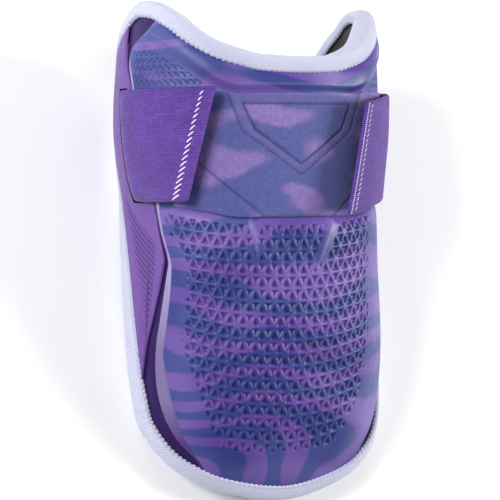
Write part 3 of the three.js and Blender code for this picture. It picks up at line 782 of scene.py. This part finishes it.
cap_arc = arc_across(skin(cap_angle, cap_height_y, cap_lift))
on_plate = band_grid == PLATE
flat_face = 1 - ease(abs(step), 0.93, 1.0)
dimple = np.where(on_plate, dimples(cap_arc, cap_height_y), 0) * flat_face
below_collar = along(COLLAR, "angle", "foot", abs(cap_angle)) - cap_height_y
corner = ease(abs(cap_angle), *CORNER_FROM_ANGLE) * ease(cap_height_y, *CORNER_FROM_Y)
corner = np.where(band_grid == FLOOR, corner * ease(below_collar, 1, 3), 0) * flat_face
*_, in_triangle = triangles(cap_arc, cap_height_y / CORNER_ROW, CORNER_BASE, CORNER_ROW)
corner_dimple = ease(in_triangle, 0.3, 0.75) * corner
dart = np.zeros(cap_arc.shape)
for fold in DARTS:
    off, share = near_line(cap_arc, cap_height_y, fold["start"], fold["end"])
    half = mix(fold["wide"], fold["narrow"], share)
    ridge = np.clip(1 - off / half, 0, 1) ** 1.3 * ease(share, 0, 0.04) * (1 - 0.5 * share)
    dart = np.maximum(dart, np.where(on_plate, ridge, 0))
cap_lift = cap_lift - DIMPLE_DEPTH * dimple - CORNER_DEPTH * corner_dimple + DART_HEIGHT * dart
# Painted highlight: a pale mark along the dart ridges, the collar's crest and its sloping sides, where light
# catches them.
brow_crest_highlight = np.where(band_grid == BROW, 1 - ease(share_grid, 0, 0.14), 0)
crest_highlight = np.where(band_grid == SLOPE, ease(share_grid, 0.75, 1), brow_crest_highlight)
slope_highlight = np.where(band_grid == SLOPE, 1.0, 0.0) * ease(abs(cap_angle), 30, 40)
front_cap = make_shell(
    "printed_cap",
    skin(cap_angle, cap_height_y, cap_lift),
    skin(cap_angle, cap_height_y, CAP_UNDER),
    4,
    unrolled=flat_map(cap_arc, cap_height_y),
    dimple=np.maximum(dimple, corner_dimple),
    wall=ease(abs(step), 1.0, 1.12),
    pale=np.maximum(np.maximum(dart * 0.8, crest_highlight * 0.3), slope_highlight * 0.08),
)


def shaded(finish, tone, light):
    """A tone made darker or lighter by a factor."""
    grey = add(finish, "CombineColor", {0: light, 1: light, 2: light})
    return blend(finish, 1.0, tone, grey, "MULTIPLY")


INDIGO, SLATE = paint(46, 54, 122), paint(68, 76, 140)
PURPLE, LAVENDER = paint(88, 62, 144), paint(113, 88, 164)
INDIGO_HOLLOW_PAINTED_SHADE, PURPLE_HOLLOW_PAINTED_SHADE = paint(30, 38, 108), paint(70, 44, 126)
PAINTED_HIGHLIGHT_LAVENDER = paint(146, 130, 182)
WALL_PAINTED_LIT, WALL_PAINTED_HALF_SHADE, WALL_PAINTED_SHADE = paint(152, 142, 186), paint(112, 98, 146), paint(66, 46, 106)
RIBBONS_PER_MM, RIBBON_DRIFT = 0.064, 3.2
RIBBON_CLOUD, RIBBON_PATCH = (0.012, 0.018, 1), (0.022, 0.035, 3)
RIBBON_TURNS_FROM, RIBBON_TURNS_TO, RIBBON_TURN = -58, -104, 0.04
RIBBON_HELD, RIBBON_HELD_SOFT = -84, 22
PRINT_WEFT, PRINT_WARP, PRINT_THREAD_DEPTH = 0.8, 1.1, 0.03
PRINT_GRAIN, PRINT_SMEAR = (1.4, 1.0, 1), (0.25, 0.25, 1)
printed, print_shader = new_finish("printed_film", 0.42, specular_ior_level=0.3, coat_weight=0.06,
                                   coat_roughness=0.3)
print_at, print_x, print_y = laid_flat(printed)
drift = sums(printed, "MULTIPLY", noise(printed, print_at, RIBBON_CLOUD, 1.0, 0.35), RIBBON_DRIFT)
turn_share = spread(printed, print_y, RIBBON_TURNS_FROM, RIBBON_TURNS_TO, 0, RIBBON_TURN, True)
turned = sums(printed, "MULTIPLY", turn_share, print_x)
held_y = sums(printed, "SMOOTH_MAX", print_y, RIBBON_HELD, RIBBON_HELD_SOFT)
phase = sums(printed, "ADD", sums(printed, "MULTIPLY_ADD", held_y, RIBBONS_PER_MM, drift), turned)
swell = wave(printed, phase, 1)
patch = spread(printed, noise(printed, print_at, RIBBON_PATCH, 1.5), 0.36, 0.66, 0, 1, True)
brow_warm = spread(printed, print_y, 74, 84, 0, 0.9, True)
to_corner = spread(printed, sums(printed, "ABSOLUTE", print_x), 34, 54, 0, -1.7, True)
brow_tone = sums(printed, "MULTIPLY_ADD", spread(printed, print_y, 66, 76, 0, 1, True), to_corner, brow_warm)
ribbon_wave = sums(printed, "ADD", sums(printed, "MULTIPLY_ADD", patch, 0.7, swell), brow_tone)
ribbon = spread(printed, ribbon_wave, 0.08, 0.58, 0, 0.92, True)
cool = blend(printed, patch, INDIGO, SLATE)
warm = blend(printed, patch, PURPLE, LAVENDER)
# Painted highlight on the dart ridges and the collar's crest.
ink = tint(printed, blend(printed, ribbon, cool, warm), "pale", 0.6, PAINTED_HIGHLIGHT_LAVENDER)
# Painted shade: the dimple hollows are coloured darker.
ink = tint(printed, ink, "dimple", 0.88, blend(printed, ribbon, INDIGO_HOLLOW_PAINTED_SHADE, PURPLE_HOLLOW_PAINTED_SHADE))
print_weave = crossed(printed, print_x, PRINT_WEFT, print_y, PRINT_WARP)
grain = sums(printed, "ADD", print_weave, noise(printed, print_at, PRINT_GRAIN, 2))
ink = shaded(printed, ink, spread(printed, grain, -0.6, 1.6, 0.84, 1.16))
# Painted light on the bevelled wall: lighter up the side where it is lit, darker toward the bottom as painted
# shade, and none near the top.
wall_painted_light = blend(printed, spread(printed, print_y, -84, -64), WALL_PAINTED_SHADE, WALL_PAINTED_HALF_SHADE)
wall_painted_light = blend(printed, spread(printed, print_y, -42, -8), wall_painted_light, WALL_PAINTED_LIT)
wall_part = sums(printed, "MULTIPLY", marked(printed, "wall"), spread(printed, print_y, 92, 82))
link(printed, blend(printed, wall_part, ink, wall_painted_light), print_shader, "Base Color")
satin = uneven(printed, print_at, PRINT_SMEAR, 0.36, 0.5)
link(printed, sums(printed, "MULTIPLY_ADD", wall_part, -0.12, satin), print_shader, "Roughness")
emboss(printed, print_shader, grain, PRINT_THREAD_DEPTH, 0.6)
front_cap.data.materials.append(printed)
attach(front_cap, "root")
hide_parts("front_cap")

# Loop panel
# Brushed loop fabric bonded to the floor of the channel, for the hooks under the strap's ends to hold.
# A home plate with a border round its lower half and two slanting folds are pressed into it.
LOOP_UNDER, LOOP_TOP = 1.85, 2.7
LOOP_RIM, LOOP_ROUND = 0.15, 1.2
LOOP_HALF_ANGLE = 59
LOOP_DEGREE = 0.95
LOOP_MARGIN_LOW, LOOP_MARGIN_HIGH = 0.8, 0.6
LOOP_TOP_LINE = 75
LOOP_COLUMNS, LOOP_ROWS = 208, 96
PRESSED_DEPTH, BORDER_DEPTH = 0.5, 0.12
# Right halves of the pressed outlines, from the top down.
HOME_PLATE = ((0, 68.2), (27.4, 68.2), (22, 56.8), (0, 41.6))
HOME_BORDER = ((35, 74), (27.6, 56), (0, 36.8))
SIDE_FOLD = ((47, 42), (18, 18.5))

loop_angle = LOOP_HALF_ANGLE * np.linspace(-1, 1, LOOP_COLUMNS + 1)[:, None]
loop_low = along(CHANNEL_LOW, "angle", "y", abs(loop_angle)) + LOOP_MARGIN_LOW
loop_high = along(COLLAR, "angle", "foot", abs(loop_angle))
loop_high = np.minimum(loop_high, LOOP_TOP_LINE) - LOOP_MARGIN_HIGH
loop_y = mix(loop_low, loop_high, np.linspace(0, 1, LOOP_ROWS + 1)[None, :])
loop_angle = loop_angle + 0 * loop_y
loop_arc = arc_across(skin(loop_angle, loop_y, LOOP_TOP))
from_middle = abs(loop_arc)
pressed = np.zeros(loop_arc.shape)
for outline, line_half, weight in ((HOME_PLATE, 0.55, 1.0), (HOME_BORDER, 0.5, 0.75), (SIDE_FOLD, 0.5, 0.75)):
    for start, end in zip(outline[:-1], outline[1:]):
        off, _ = near_line(from_middle, loop_y, start, end)
        pressed = np.maximum(pressed, weight * np.exp(-(off / line_half) ** 2))


def inside_outline(outline):
    """Distance into a pressed outline from its sides."""
    half, height = np.array(outline[::-1]).T
    return np.interp(loop_y, height, half) - from_middle


in_plate, within_border = inside_outline(HOME_PLATE[1:]), inside_outline(HOME_BORDER)
below_plate = ease(within_border, 0, 0.8) * (1 - ease(in_plate, -0.8, 0)) * ease(loop_y, 36.8, 38)
above_plate = ease(loop_y, 68.4, 69) * ease(within_border, 0, 1)
in_border = np.maximum(below_plate, above_plate)
side_inset = (LOOP_HALF_ANGLE - abs(loop_angle)) * LOOP_DEGREE
edge_in = np.minimum(np.minimum(loop_y - loop_low, loop_high - loop_y), side_inset)
loop_lift = mix(LOOP_UNDER + LOOP_RIM, LOOP_TOP, rounded(edge_in, LOOP_ROUND))
loop_lift -= PRESSED_DEPTH * pressed * ease(edge_in, 0.3, LOOP_ROUND) + BORDER_DEPTH * in_border
loop_panel = make_shell(
    "loop_fabric",
    skin(loop_angle, loop_y, loop_lift),
    skin(loop_angle, loop_y, LOOP_UNDER),
    4,
    unrolled=flat_map(loop_arc, loop_y),
    pressed=pressed,
    border=in_border,
)

LOOP_SLATE, LOOP_LAVENDER = paint(80, 86, 146), paint(132, 110, 173)
LOOP_PRESSED_PAINTED_SHADE, LOOP_BORDER = paint(44, 44, 106), paint(94, 90, 148)
BLOB_CLOUD, NAP_FINE, NAP_SOFT = (0.03, 0.06, 1), (1.5, 0.9, 1), (0.35, 0.3, 1)
NAP_DEPTH = 0.35
brushed, brushed_shader = new_finish("brushed_loop", 0.95, specular_ior_level=0.1, sheen_weight=0.2,
                                     sheen_roughness=0.6)
brushed_at = marked(brushed, "unrolled", "Vector")
blob = spread(brushed, noise(brushed, brushed_at, BLOB_CLOUD, 0.8, 0.4), 0.49, 0.58, 0, 0.9, True)
loop_tone = blend(brushed, blob, LOOP_SLATE, LOOP_LAVENDER)
loop_tone = tint(brushed, loop_tone, "border", 0.75, LOOP_BORDER)
# Painted shade: the pressed lines are coloured darker.
loop_tone = tint(brushed, loop_tone, "pressed", 0.85, LOOP_PRESSED_PAINTED_SHADE)
nap = noise(brushed, brushed_at, NAP_FINE, 4, 0.65)
nap_soft = uneven(brushed, brushed_at, NAP_SOFT, 0.88, 1.12, 3, 0.6)
nap_light = sums(brushed, "MULTIPLY", spread(brushed, nap, 0.25, 0.75, 0.74, 1.26), nap_soft)
link(brushed, shaded(brushed, loop_tone, nap_light), brushed_shader, "Base Color")
emboss(brushed, brushed_shader, nap, NAP_DEPTH, 0.8)
loop_panel.data.materials.append(brushed)
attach(loop_panel, "root")
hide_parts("loop_panel")

# Edge tape
# A pale lavender twill tape folded over the rim and sewn all the way round with a zigzag in the same colour,
# seen outside and inside. The stitches draw its two edges into small scallops.
TAPE_THICK = 1.5
TAPE_LEG_INSIDE = 3.6
TAPE_CLEAR, TAPE_EDGE_CLEAR, TAPE_INSIDE_CLEAR = 0.5, 0.9, 0.75
TAPE_STATIONS = 1920
SCALLOP_PITCH, SCALLOP_DEEP = 2.4, 0.55
PINCH_DEEP = 0.22
STITCH_THICK = 0.32
STITCH_OUTSIDE, STITCH_INSIDE = (1.7, 0.62), (1.8, 0.75)

far, deep, nose = TAPE_CLEAR + TAPE_THICK, TAPE_INSIDE_CLEAR + TAPE_THICK, TAPE_EDGE_CLEAR + TAPE_THICK
# Outline of the folded tape: share of the leg, way out past the rim, share of the wall's depth, rise off it.
TAPE_OUTLINE = np.array([
    (1, 0, 0, TAPE_CLEAR),
    (0, TAPE_EDGE_CLEAR, 0, TAPE_CLEAR),
    (0, TAPE_EDGE_CLEAR, 1, -TAPE_INSIDE_CLEAR),
    (0, -TAPE_LEG_INSIDE, 1, -TAPE_INSIDE_CLEAR),
    (0, -TAPE_LEG_INSIDE - 0.1, 1, 0.5 - deep),
    (0, -TAPE_LEG_INSIDE + 0.3, 1, 0.12 - deep),
    (0, -TAPE_LEG_INSIDE + 1.3, 1, -deep),
    (0, -0.8, 1, -deep),
    (0, 0.5, 1, -deep * 0.9),
    (0, 1.4, 1, -deep * 0.62),
    (0, 2.05, 1, -deep * 0.25),
    (0, nose, 0.85, 0),
    (0, nose + 0.08, 0.5, 0),
    (0, nose, 0.15, 0),
    (0, 2.05, 0, far * 0.3),
    (0, 1.4, 0, far * 0.66),
    (0, 0.5, 0, far * 0.91),
    (0, -0.8, 0, far),
    (0.35, 0, 0, far + 0.05),
    (0.6, 0, 0, far + 0.05),
    (0.8, 0, 0, far - 0.02),
    (0.93, 0, 0, far - 0.2),
    (1, 0, 0, far - 0.55),
])


def wall_depth(angle):
    """How far the lining's face lies under the foam's face."""
    return foam_thickness(angle) + LINING_GAP + LINING_THICK


*tape_line, tape_run, tape_long = rim(TAPE_STATIONS)
tape_line = [np.roll(values, -TAPE_STATIONS // 4) for values in tape_line]
tape_angle, tape_y, tape_turn, tape_ahead, tape_leg = (values[:, None] for values in tape_line)
scallops = round(tape_long / SCALLOP_PITCH)
beat = tape_run / tape_long * scallops
drawn = abs(np.cos(np.pi * beat))[:, None]
leg_share, way_out, wall_share, rise = (TAPE_OUTLINE[None, :, n] for n in range(4))
inside_edge = np.where((wall_share == 1) & (way_out < -TAPE_LEG_INSIDE + 0.5), 1.0, 0.0)
edge_pull = (ease(leg_share, 0.75, 1) + inside_edge) * SCALLOP_DEEP * drawn ** 3
out = way_out - leg_share * tape_leg + edge_pull
pinch = -PINCH_DEEP * drawn ** 2 * ease(leg_share, 0.55, 0.85)
at_angle, at_y = tape_angle + tape_turn * out, tape_y + tape_ahead * out
tape_grid = skin(at_angle, at_y, rise - wall_share * wall_depth(at_angle) + pinch)
ring = tape_grid.shape[1]
number = np.arange(TAPE_STATIONS * ring).reshape(TAPE_STATIONS, ring)
closed = np.pad(number, ((0, 1), (0, 1)), mode="wrap")
tape_faces = [face[::-1] for face in quads(closed.T)]
edge_binding = make_piece("rim_tape", tape_grid.reshape(-1, 3), tape_faces)

# The tape laid flat, with its two ends meeting at the right wing tip.
corner_at = np.empty(len(edge_binding.data.loops), int)
edge_binding.data.loops.foreach_get("vertex_index", corner_at)
corner_at = corner_at.reshape(-1, 4)
station, around = corner_at // ring, corner_at % ring
station[(station.max(1, keepdims=True) == TAPE_STATIONS - 1) & (station == 0)] = TAPE_STATIONS
around[(around.max(1, keepdims=True) == ring - 1) & (around == 0)] = ring
round_fold = np.concatenate([tape_grid, tape_grid[:, :1]], axis=1)
girth = run_along(round_fold.swapaxes(0, 1)).mean(1)
tape_flat = flat_map(station * tape_long / TAPE_STATIONS, girth[around])
flat_mark = edge_binding.data.attributes.new("unrolled", "FLOAT_VECTOR", "CORNER")
flat_mark.data.foreach_set("vector", tape_flat.astype(np.float32).ravel())

TAPE_PALE, TAPE_LINE, TAPE_SHADE = paint(209, 210, 227), paint(172, 174, 202), paint(190, 192, 215)
TWILL_PITCH, TWILL_LEAN, TWILL_FLOAT, TWILL_DEPTH = 1.25, 0.75, 0.6, 0.14
TWILL_CLOUD = (0.12, 0.3, 1)
twill, twill_shader = new_finish("twill_tape", 0.78, sheen_weight=0.2, sheen_roughness=0.5)
twill_at, twill_run, twill_across = laid_flat(twill)
slanted = sums(twill, "MULTIPLY_ADD", twill_across, TWILL_LEAN, twill_run)
slant_wave = wave(twill, slanted, tape_long / round(tape_long / TWILL_PITCH))
float_wave = wave(twill, twill_across, TWILL_FLOAT)
twill_rib = spread(twill, sums(twill, "MULTIPLY_ADD", float_wave, 0.2, slant_wave), -1, 0.4, 0, 1, True)
twill_tone = blend(twill, noise(twill, twill_at, TWILL_CLOUD, 3), TAPE_SHADE, TAPE_PALE)
link(twill, blend(twill, twill_rib, TAPE_LINE, twill_tone), twill_shader, "Base Color")
emboss(twill, twill_shader, twill_rib, TWILL_DEPTH, 0.8)
edge_binding.data.materials.append(twill)
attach(edge_binding, "root")
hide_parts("edge_binding")


def sew(name, lines, thick, sides=6):
    """Threads laid along lines of points as one mesh of thin round tubes with closed ends."""
    points, faces = [], []
    turn = 2 * np.pi * np.arange(sides) / sides
    cos, sin = np.cos(turn)[None, :, None], np.sin(turn)[None, :, None]
    laid = 0
    for line in lines:
        ahead = np.gradient(line, axis=0)
        ahead /= np.linalg.norm(ahead, axis=-1, keepdims=True)
        guide = (0, 0, 1) if abs(ahead[0, 2]) < 0.8 else (0, 1, 0)
        right = np.cross(ahead, guide)
        right /= np.linalg.norm(right, axis=-1, keepdims=True)
        up = np.cross(right, ahead)
        radius = np.full((len(line), 1, 1), thick / 2)
        radius[[0, -1]] *= 0.55
        rings = line[:, None] + radius * (cos * right[:, None] + sin * up[:, None])
        number = laid + np.arange(len(line) * sides).reshape(len(line), sides)
        laid += number.size
        faces += [face[::-1] for face in quads(np.concatenate([number, number[:, :1]], axis=1))]
        faces += [number[0].tolist(), number[-1][::-1].tolist()]
        points.append(rings.reshape(-1, 3))
    return make_piece(name, np.concatenate(points), faces)


def thread_finish(name, roughness, dark, light):
    """Twisted thread, a little darker between its strands."""
    thread, shader = new_finish(name, roughness, sheen_weight=0.2)
    twist = noise(thread, add(thread, "TexCoord", {}, out="Object"), (2500, 2500, 2500))
    link(thread, blend(thread, twist, dark, light), shader, "Base Color")
    emboss(thread, shader, twist, 0.05)
    return thread


zigzag = []
share = np.linspace(0, 1, 5)
arch = np.sin(np.pi * share)
for n in range(scallops):
    for start, end in ((n - 0.5, n), (n, n + 0.5)):
        spots = mix(start, end, share)
        angle, y, turn, ahead, leg = (np.interp(spots % scallops, beat, values) for values in tape_line)
        inward = 1 - abs(spots - n) * 2
        outside = -leg + mix(*STITCH_OUTSIDE, inward)
        zigzag.append(skin(angle + turn * outside, y + ahead * outside, far - 0.1 + 0.16 * arch))
        inside = -TAPE_LEG_INSIDE + mix(*STITCH_INSIDE, inward)
        under = angle + turn * inside
        zigzag.append(skin(under, y + ahead * inside, -wall_depth(under) - deep - 0.14 * arch))
tape_stitches = sew("tape_stitches", zigzag, STITCH_THICK, 5)
tape_thread = thread_finish("tape_thread", 0.6, paint(184, 186, 211), paint(212, 213, 231))
tape_stitches.data.materials.append(tape_thread)
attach(tape_stitches, "root")

# Strap
# One wide purple woven elastic band. It runs inside the sides and across the open back, comes out through
# the slots and lies over the channel with both ends. These are cut on the slant and sewn in pale thread,
# and the right end is also overcast along its cut.
STRAP_STEPS, STRAP_ROWS = 440, 48
STRAP_EDGE, STRAP_ROUND = 0.35, 0.8
SELVEDGE, SELVEDGE_DEEP, SELVEDGE_HALF = 1.6, 0.16, 0.35
LEFT_STITCHES, LEFT_THREAD = 19, 0.7
LEFT_FROM_END, LEFT_HALF_RUN, LEFT_HALF_RISE = (6.4, 5.4), (1.75, 0.6), (1.2, 0.75)
RIGHT_STITCHES, RIGHT_THREAD = 22, 0.4
RIGHT_FROM_END, RIGHT_HALF_RUN, RIGHT_HALF_RISE = 4.0, 0.75, 0.7
OVERCAST_PITCH, OVERCAST_FROM_END = 0.95, np.array([0.02, 0.25, 0.5, 0.75])
STITCH_BOW = np.array([0.02, 0.24, 0.24, 0.02])

strap_y = np.linspace(strap_low, strap_high, STRAP_ROWS + 1)
fine_share = np.linspace(0, 1, 3001)
fine_line, _ = on_path(strap_path(np.array([STRAP_MIDDLE])), fine_share)
fine_run = run_along(fine_line[0])
strap_long = fine_run[-1]
strap_run = np.linspace(0, strap_long, STRAP_STEPS + 1)
strap_share = np.interp(strap_run, fine_run, fine_share)
from_edge = np.minimum(strap_y - strap_low, strap_high - strap_y)
selvedge_dip = SELVEDGE_DEEP * np.exp(-((from_edge - SELVEDGE) / SELVEDGE_HALF) ** 2)
strap_half = (STRAP_THICK / 2) * mix(STRAP_EDGE, 1, rounded(from_edge, STRAP_ROUND)) - selvedge_dip
strap_outer, strap_inner = strap_faces(strap_share, strap_y, strap_half[None, :])
strap_flat = flat_map(strap_run[:, None], strap_y[None, :])
selvedge = np.broadcast_to(1 - ease(from_edge, 0.4, SELVEDGE + 0.5)[None, :], strap_outer.shape[:2])
strap = make_shell("strap_band", strap_outer, strap_inner, 1, unrolled=strap_flat, selvedge=selvedge)

STRAP_PURPLE, STRAP_DEEP, STRAP_LIGHT = paint(95, 61, 150), paint(71, 41, 123), paint(117, 85, 169)
CORD_PITCH, PICK_PITCH, WEAVE_DEPTH = 1.05, 0.95, 0.2
YARN, HEATHER = (0.35, 0.8, 1), (0.12, 0.16, 1)
woven, woven_shader = new_finish("woven_elastic", 0.75, specular_ior_level=0.2, sheen_weight=0.22,
                                 sheen_roughness=0.45)
woven_at, woven_run, woven_across = laid_flat(woven)
cords, picks = wave(woven, woven_across, CORD_PITCH), wave(woven, woven_run, PICK_PITCH)
raised = spread(woven, sums(woven, "ADD", picks, cords), -1.5, 1.3, 0, 1, True)
woven_tone = blend(woven, raised, STRAP_DEEP, STRAP_PURPLE)
light_yarn = spread(woven, noise(woven, woven_at, YARN, 3), 0.45, 0.7)
light_yarn = sums(woven, "MULTIPLY", sums(woven, "MULTIPLY", light_yarn, raised), 0.75)
woven_tone = blend(woven, light_yarn, woven_tone, STRAP_LIGHT)
woven_tone = shaded(woven, woven_tone, uneven(woven, woven_at, HEATHER, 0.84, 1.14, 3))
link(woven, tint(woven, woven_tone, "selvedge", 0.55, STRAP_DEEP), woven_shader, "Base Color")
emboss(woven, woven_shader, raised, WEAVE_DEPTH, 0.8)
strap.data.materials.append(woven)
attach(strap, "root")
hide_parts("strap")


def on_strap(from_end, left, y, lift):
    """Points over the strap's outer face, at distances from its right or left end and heights."""
    points = []
    for far_in, h, up in zip(from_end, y, lift):
        path = strap_path(np.array([h]))
        run = run_along(on_path(path, fine_share)[0][0])
        share = np.interp(run[-1] - far_in if left else far_in, run, fine_share)
        middle, ahead = on_path(path, np.array([share]))
        face = np.array([-ahead[0, 0, 2], 0, ahead[0, 0, 0]])
        points.append(middle[0, 0] + face / np.linalg.norm(face) * (STRAP_THICK / 2 + up))
    return np.array(points)


stitch = np.linspace(-1, 1, 4)
left_lines, right_lines = [], []
for h in np.linspace(strap_low + 2.1, strap_high - 2.7, LEFT_STITCHES):
    across = (h - strap_low) / STRAP_WIDTH
    from_end = mix(*LEFT_FROM_END, across) - mix(*LEFT_HALF_RUN, across) * stitch
    left_lines.append(on_strap(from_end, True, h + mix(*LEFT_HALF_RISE, across) * stitch, STITCH_BOW))
for h in np.linspace(strap_low + 2, strap_high - 2.2, RIGHT_STITCHES):
    from_end = RIGHT_FROM_END + RIGHT_HALF_RUN * stitch
    right_lines.append(on_strap(from_end, False, h + RIGHT_HALF_RISE * stitch, 0.7 * STITCH_BOW))
for h in np.arange(strap_low + 0.8, strap_high - 0.6, OVERCAST_PITCH):
    overcast_y = h + np.linspace(-0.12, 0.2, 4)
    right_lines.append(on_strap(OVERCAST_FROM_END, False, overcast_y, 0.5 * STITCH_BOW))
end_stitches_left = sew("strap_stitches_left", left_lines, LEFT_THREAD)
end_stitches_right = sew("strap_stitches_right", right_lines, RIGHT_THREAD, 5)
white_thread = thread_finish("strap_thread", 0.55, paint(214, 208, 232), paint(246, 243, 252))
for stitches in (end_stitches_left, end_stitches_right):
    stitches.data.materials.append(white_thread)
    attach(stitches, "root")

# Table, light and camera
# The guard lies front up on a plain pale table, under three soft studio lamps in an evenly lit white room.
# The camera stands where the photograph was taken from.
TABLE_HALF = 8.0
VIEW_TURN, VIEW_RISE = math.radians(-26.5), math.radians(4)
VIEW_FAR = 752
VIEW_AT = np.array([0, 0, 3.2])
SENSOR_WIDTH = 36
VIEW_LENS = SENSOR_WIDTH * 1582 / 500
LAMPS = (
    {"name": "key", "at": (-1.05, 0.25, 0.78), "size": 0.5, "power": 16.5},
    {"name": "fill", "at": (1.15, -0.1, 0.7), "size": 0.45, "power": 18},
    {"name": "top", "at": (0.0, 0.85, 0.95), "size": 0.8, "power": 2.6},
)
LAMPS_AIM = np.array([0, 0, 0.05])
ROOM_LIGHT = 0.245

table_mesh = bpy.data.meshes.new("table")
corners = [(-1, -1), (1, -1), (1, 1), (-1, 1)]
table_mesh.from_pydata([(x * TABLE_HALF, y * TABLE_HALF, 0) for x, y in corners], [], [(0, 1, 2, 3)])
table = bpy.data.objects.new("table", table_mesh)
bpy.context.scene.collection.objects.link(table)
table_top, table_shader = new_finish("table_top", 0.9)
table_cloud = noise(table_top, add(table_top, "TexCoord", {}, out="Object"), (3, 3, 3))
table_tone = blend(table_top, table_cloud, paint(246, 246, 247), paint(250, 250, 251))
link(table_top, table_tone, table_shader, "Base Color")
table_mesh.materials.append(table_top)
table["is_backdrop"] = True


def stand(thing, back, upright, place):
    """A lamp or camera at a place, with its back turned one way."""
    right = np.cross(upright, back)
    right /= np.linalg.norm(right)
    placed = np.eye(4)
    placed[:3, :3], placed[:3, 3] = np.stack([right, np.cross(back, right), back], 1), place
    thing.matrix_world = Matrix(placed.tolist())
    bpy.context.scene.collection.objects.link(thing)


level = math.cos(VIEW_RISE)
view_back = np.array([math.sin(VIEW_TURN) * level, math.sin(VIEW_RISE), math.cos(VIEW_TURN) * level])
camera_data = bpy.data.cameras.new("camera")
camera_data.lens, camera_data.sensor_width = VIEW_LENS, SENSOR_WIDTH
camera_data.clip_start, camera_data.clip_end = 0.01, 20
camera = bpy.data.objects.new("camera", camera_data)
stand(camera, turn_down(view_back), turn_down([0, 1, 0]), lay_down(VIEW_AT + VIEW_FAR * view_back))
bpy.context.scene.camera = camera

for lamp in LAMPS:
    light = bpy.data.lights.new(lamp["name"], "AREA")
    light.energy, light.size = lamp["power"], lamp["size"]
    away = np.array(lamp["at"]) - LAMPS_AIM
    stand(bpy.data.objects.new(lamp["name"], light), away / np.linalg.norm(away), [0, 0, 1], lamp["at"])

world = bpy.data.worlds.new("studio")
world.use_nodes = True
room = world.node_tree.nodes["Background"].inputs
room["Color"].default_value, room["Strength"].default_value = (1, 1, 1, 1), ROOM_LIGHT
bpy.context.scene.world = world
bpy.context.scene.view_settings.view_transform = "Standard"

low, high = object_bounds()
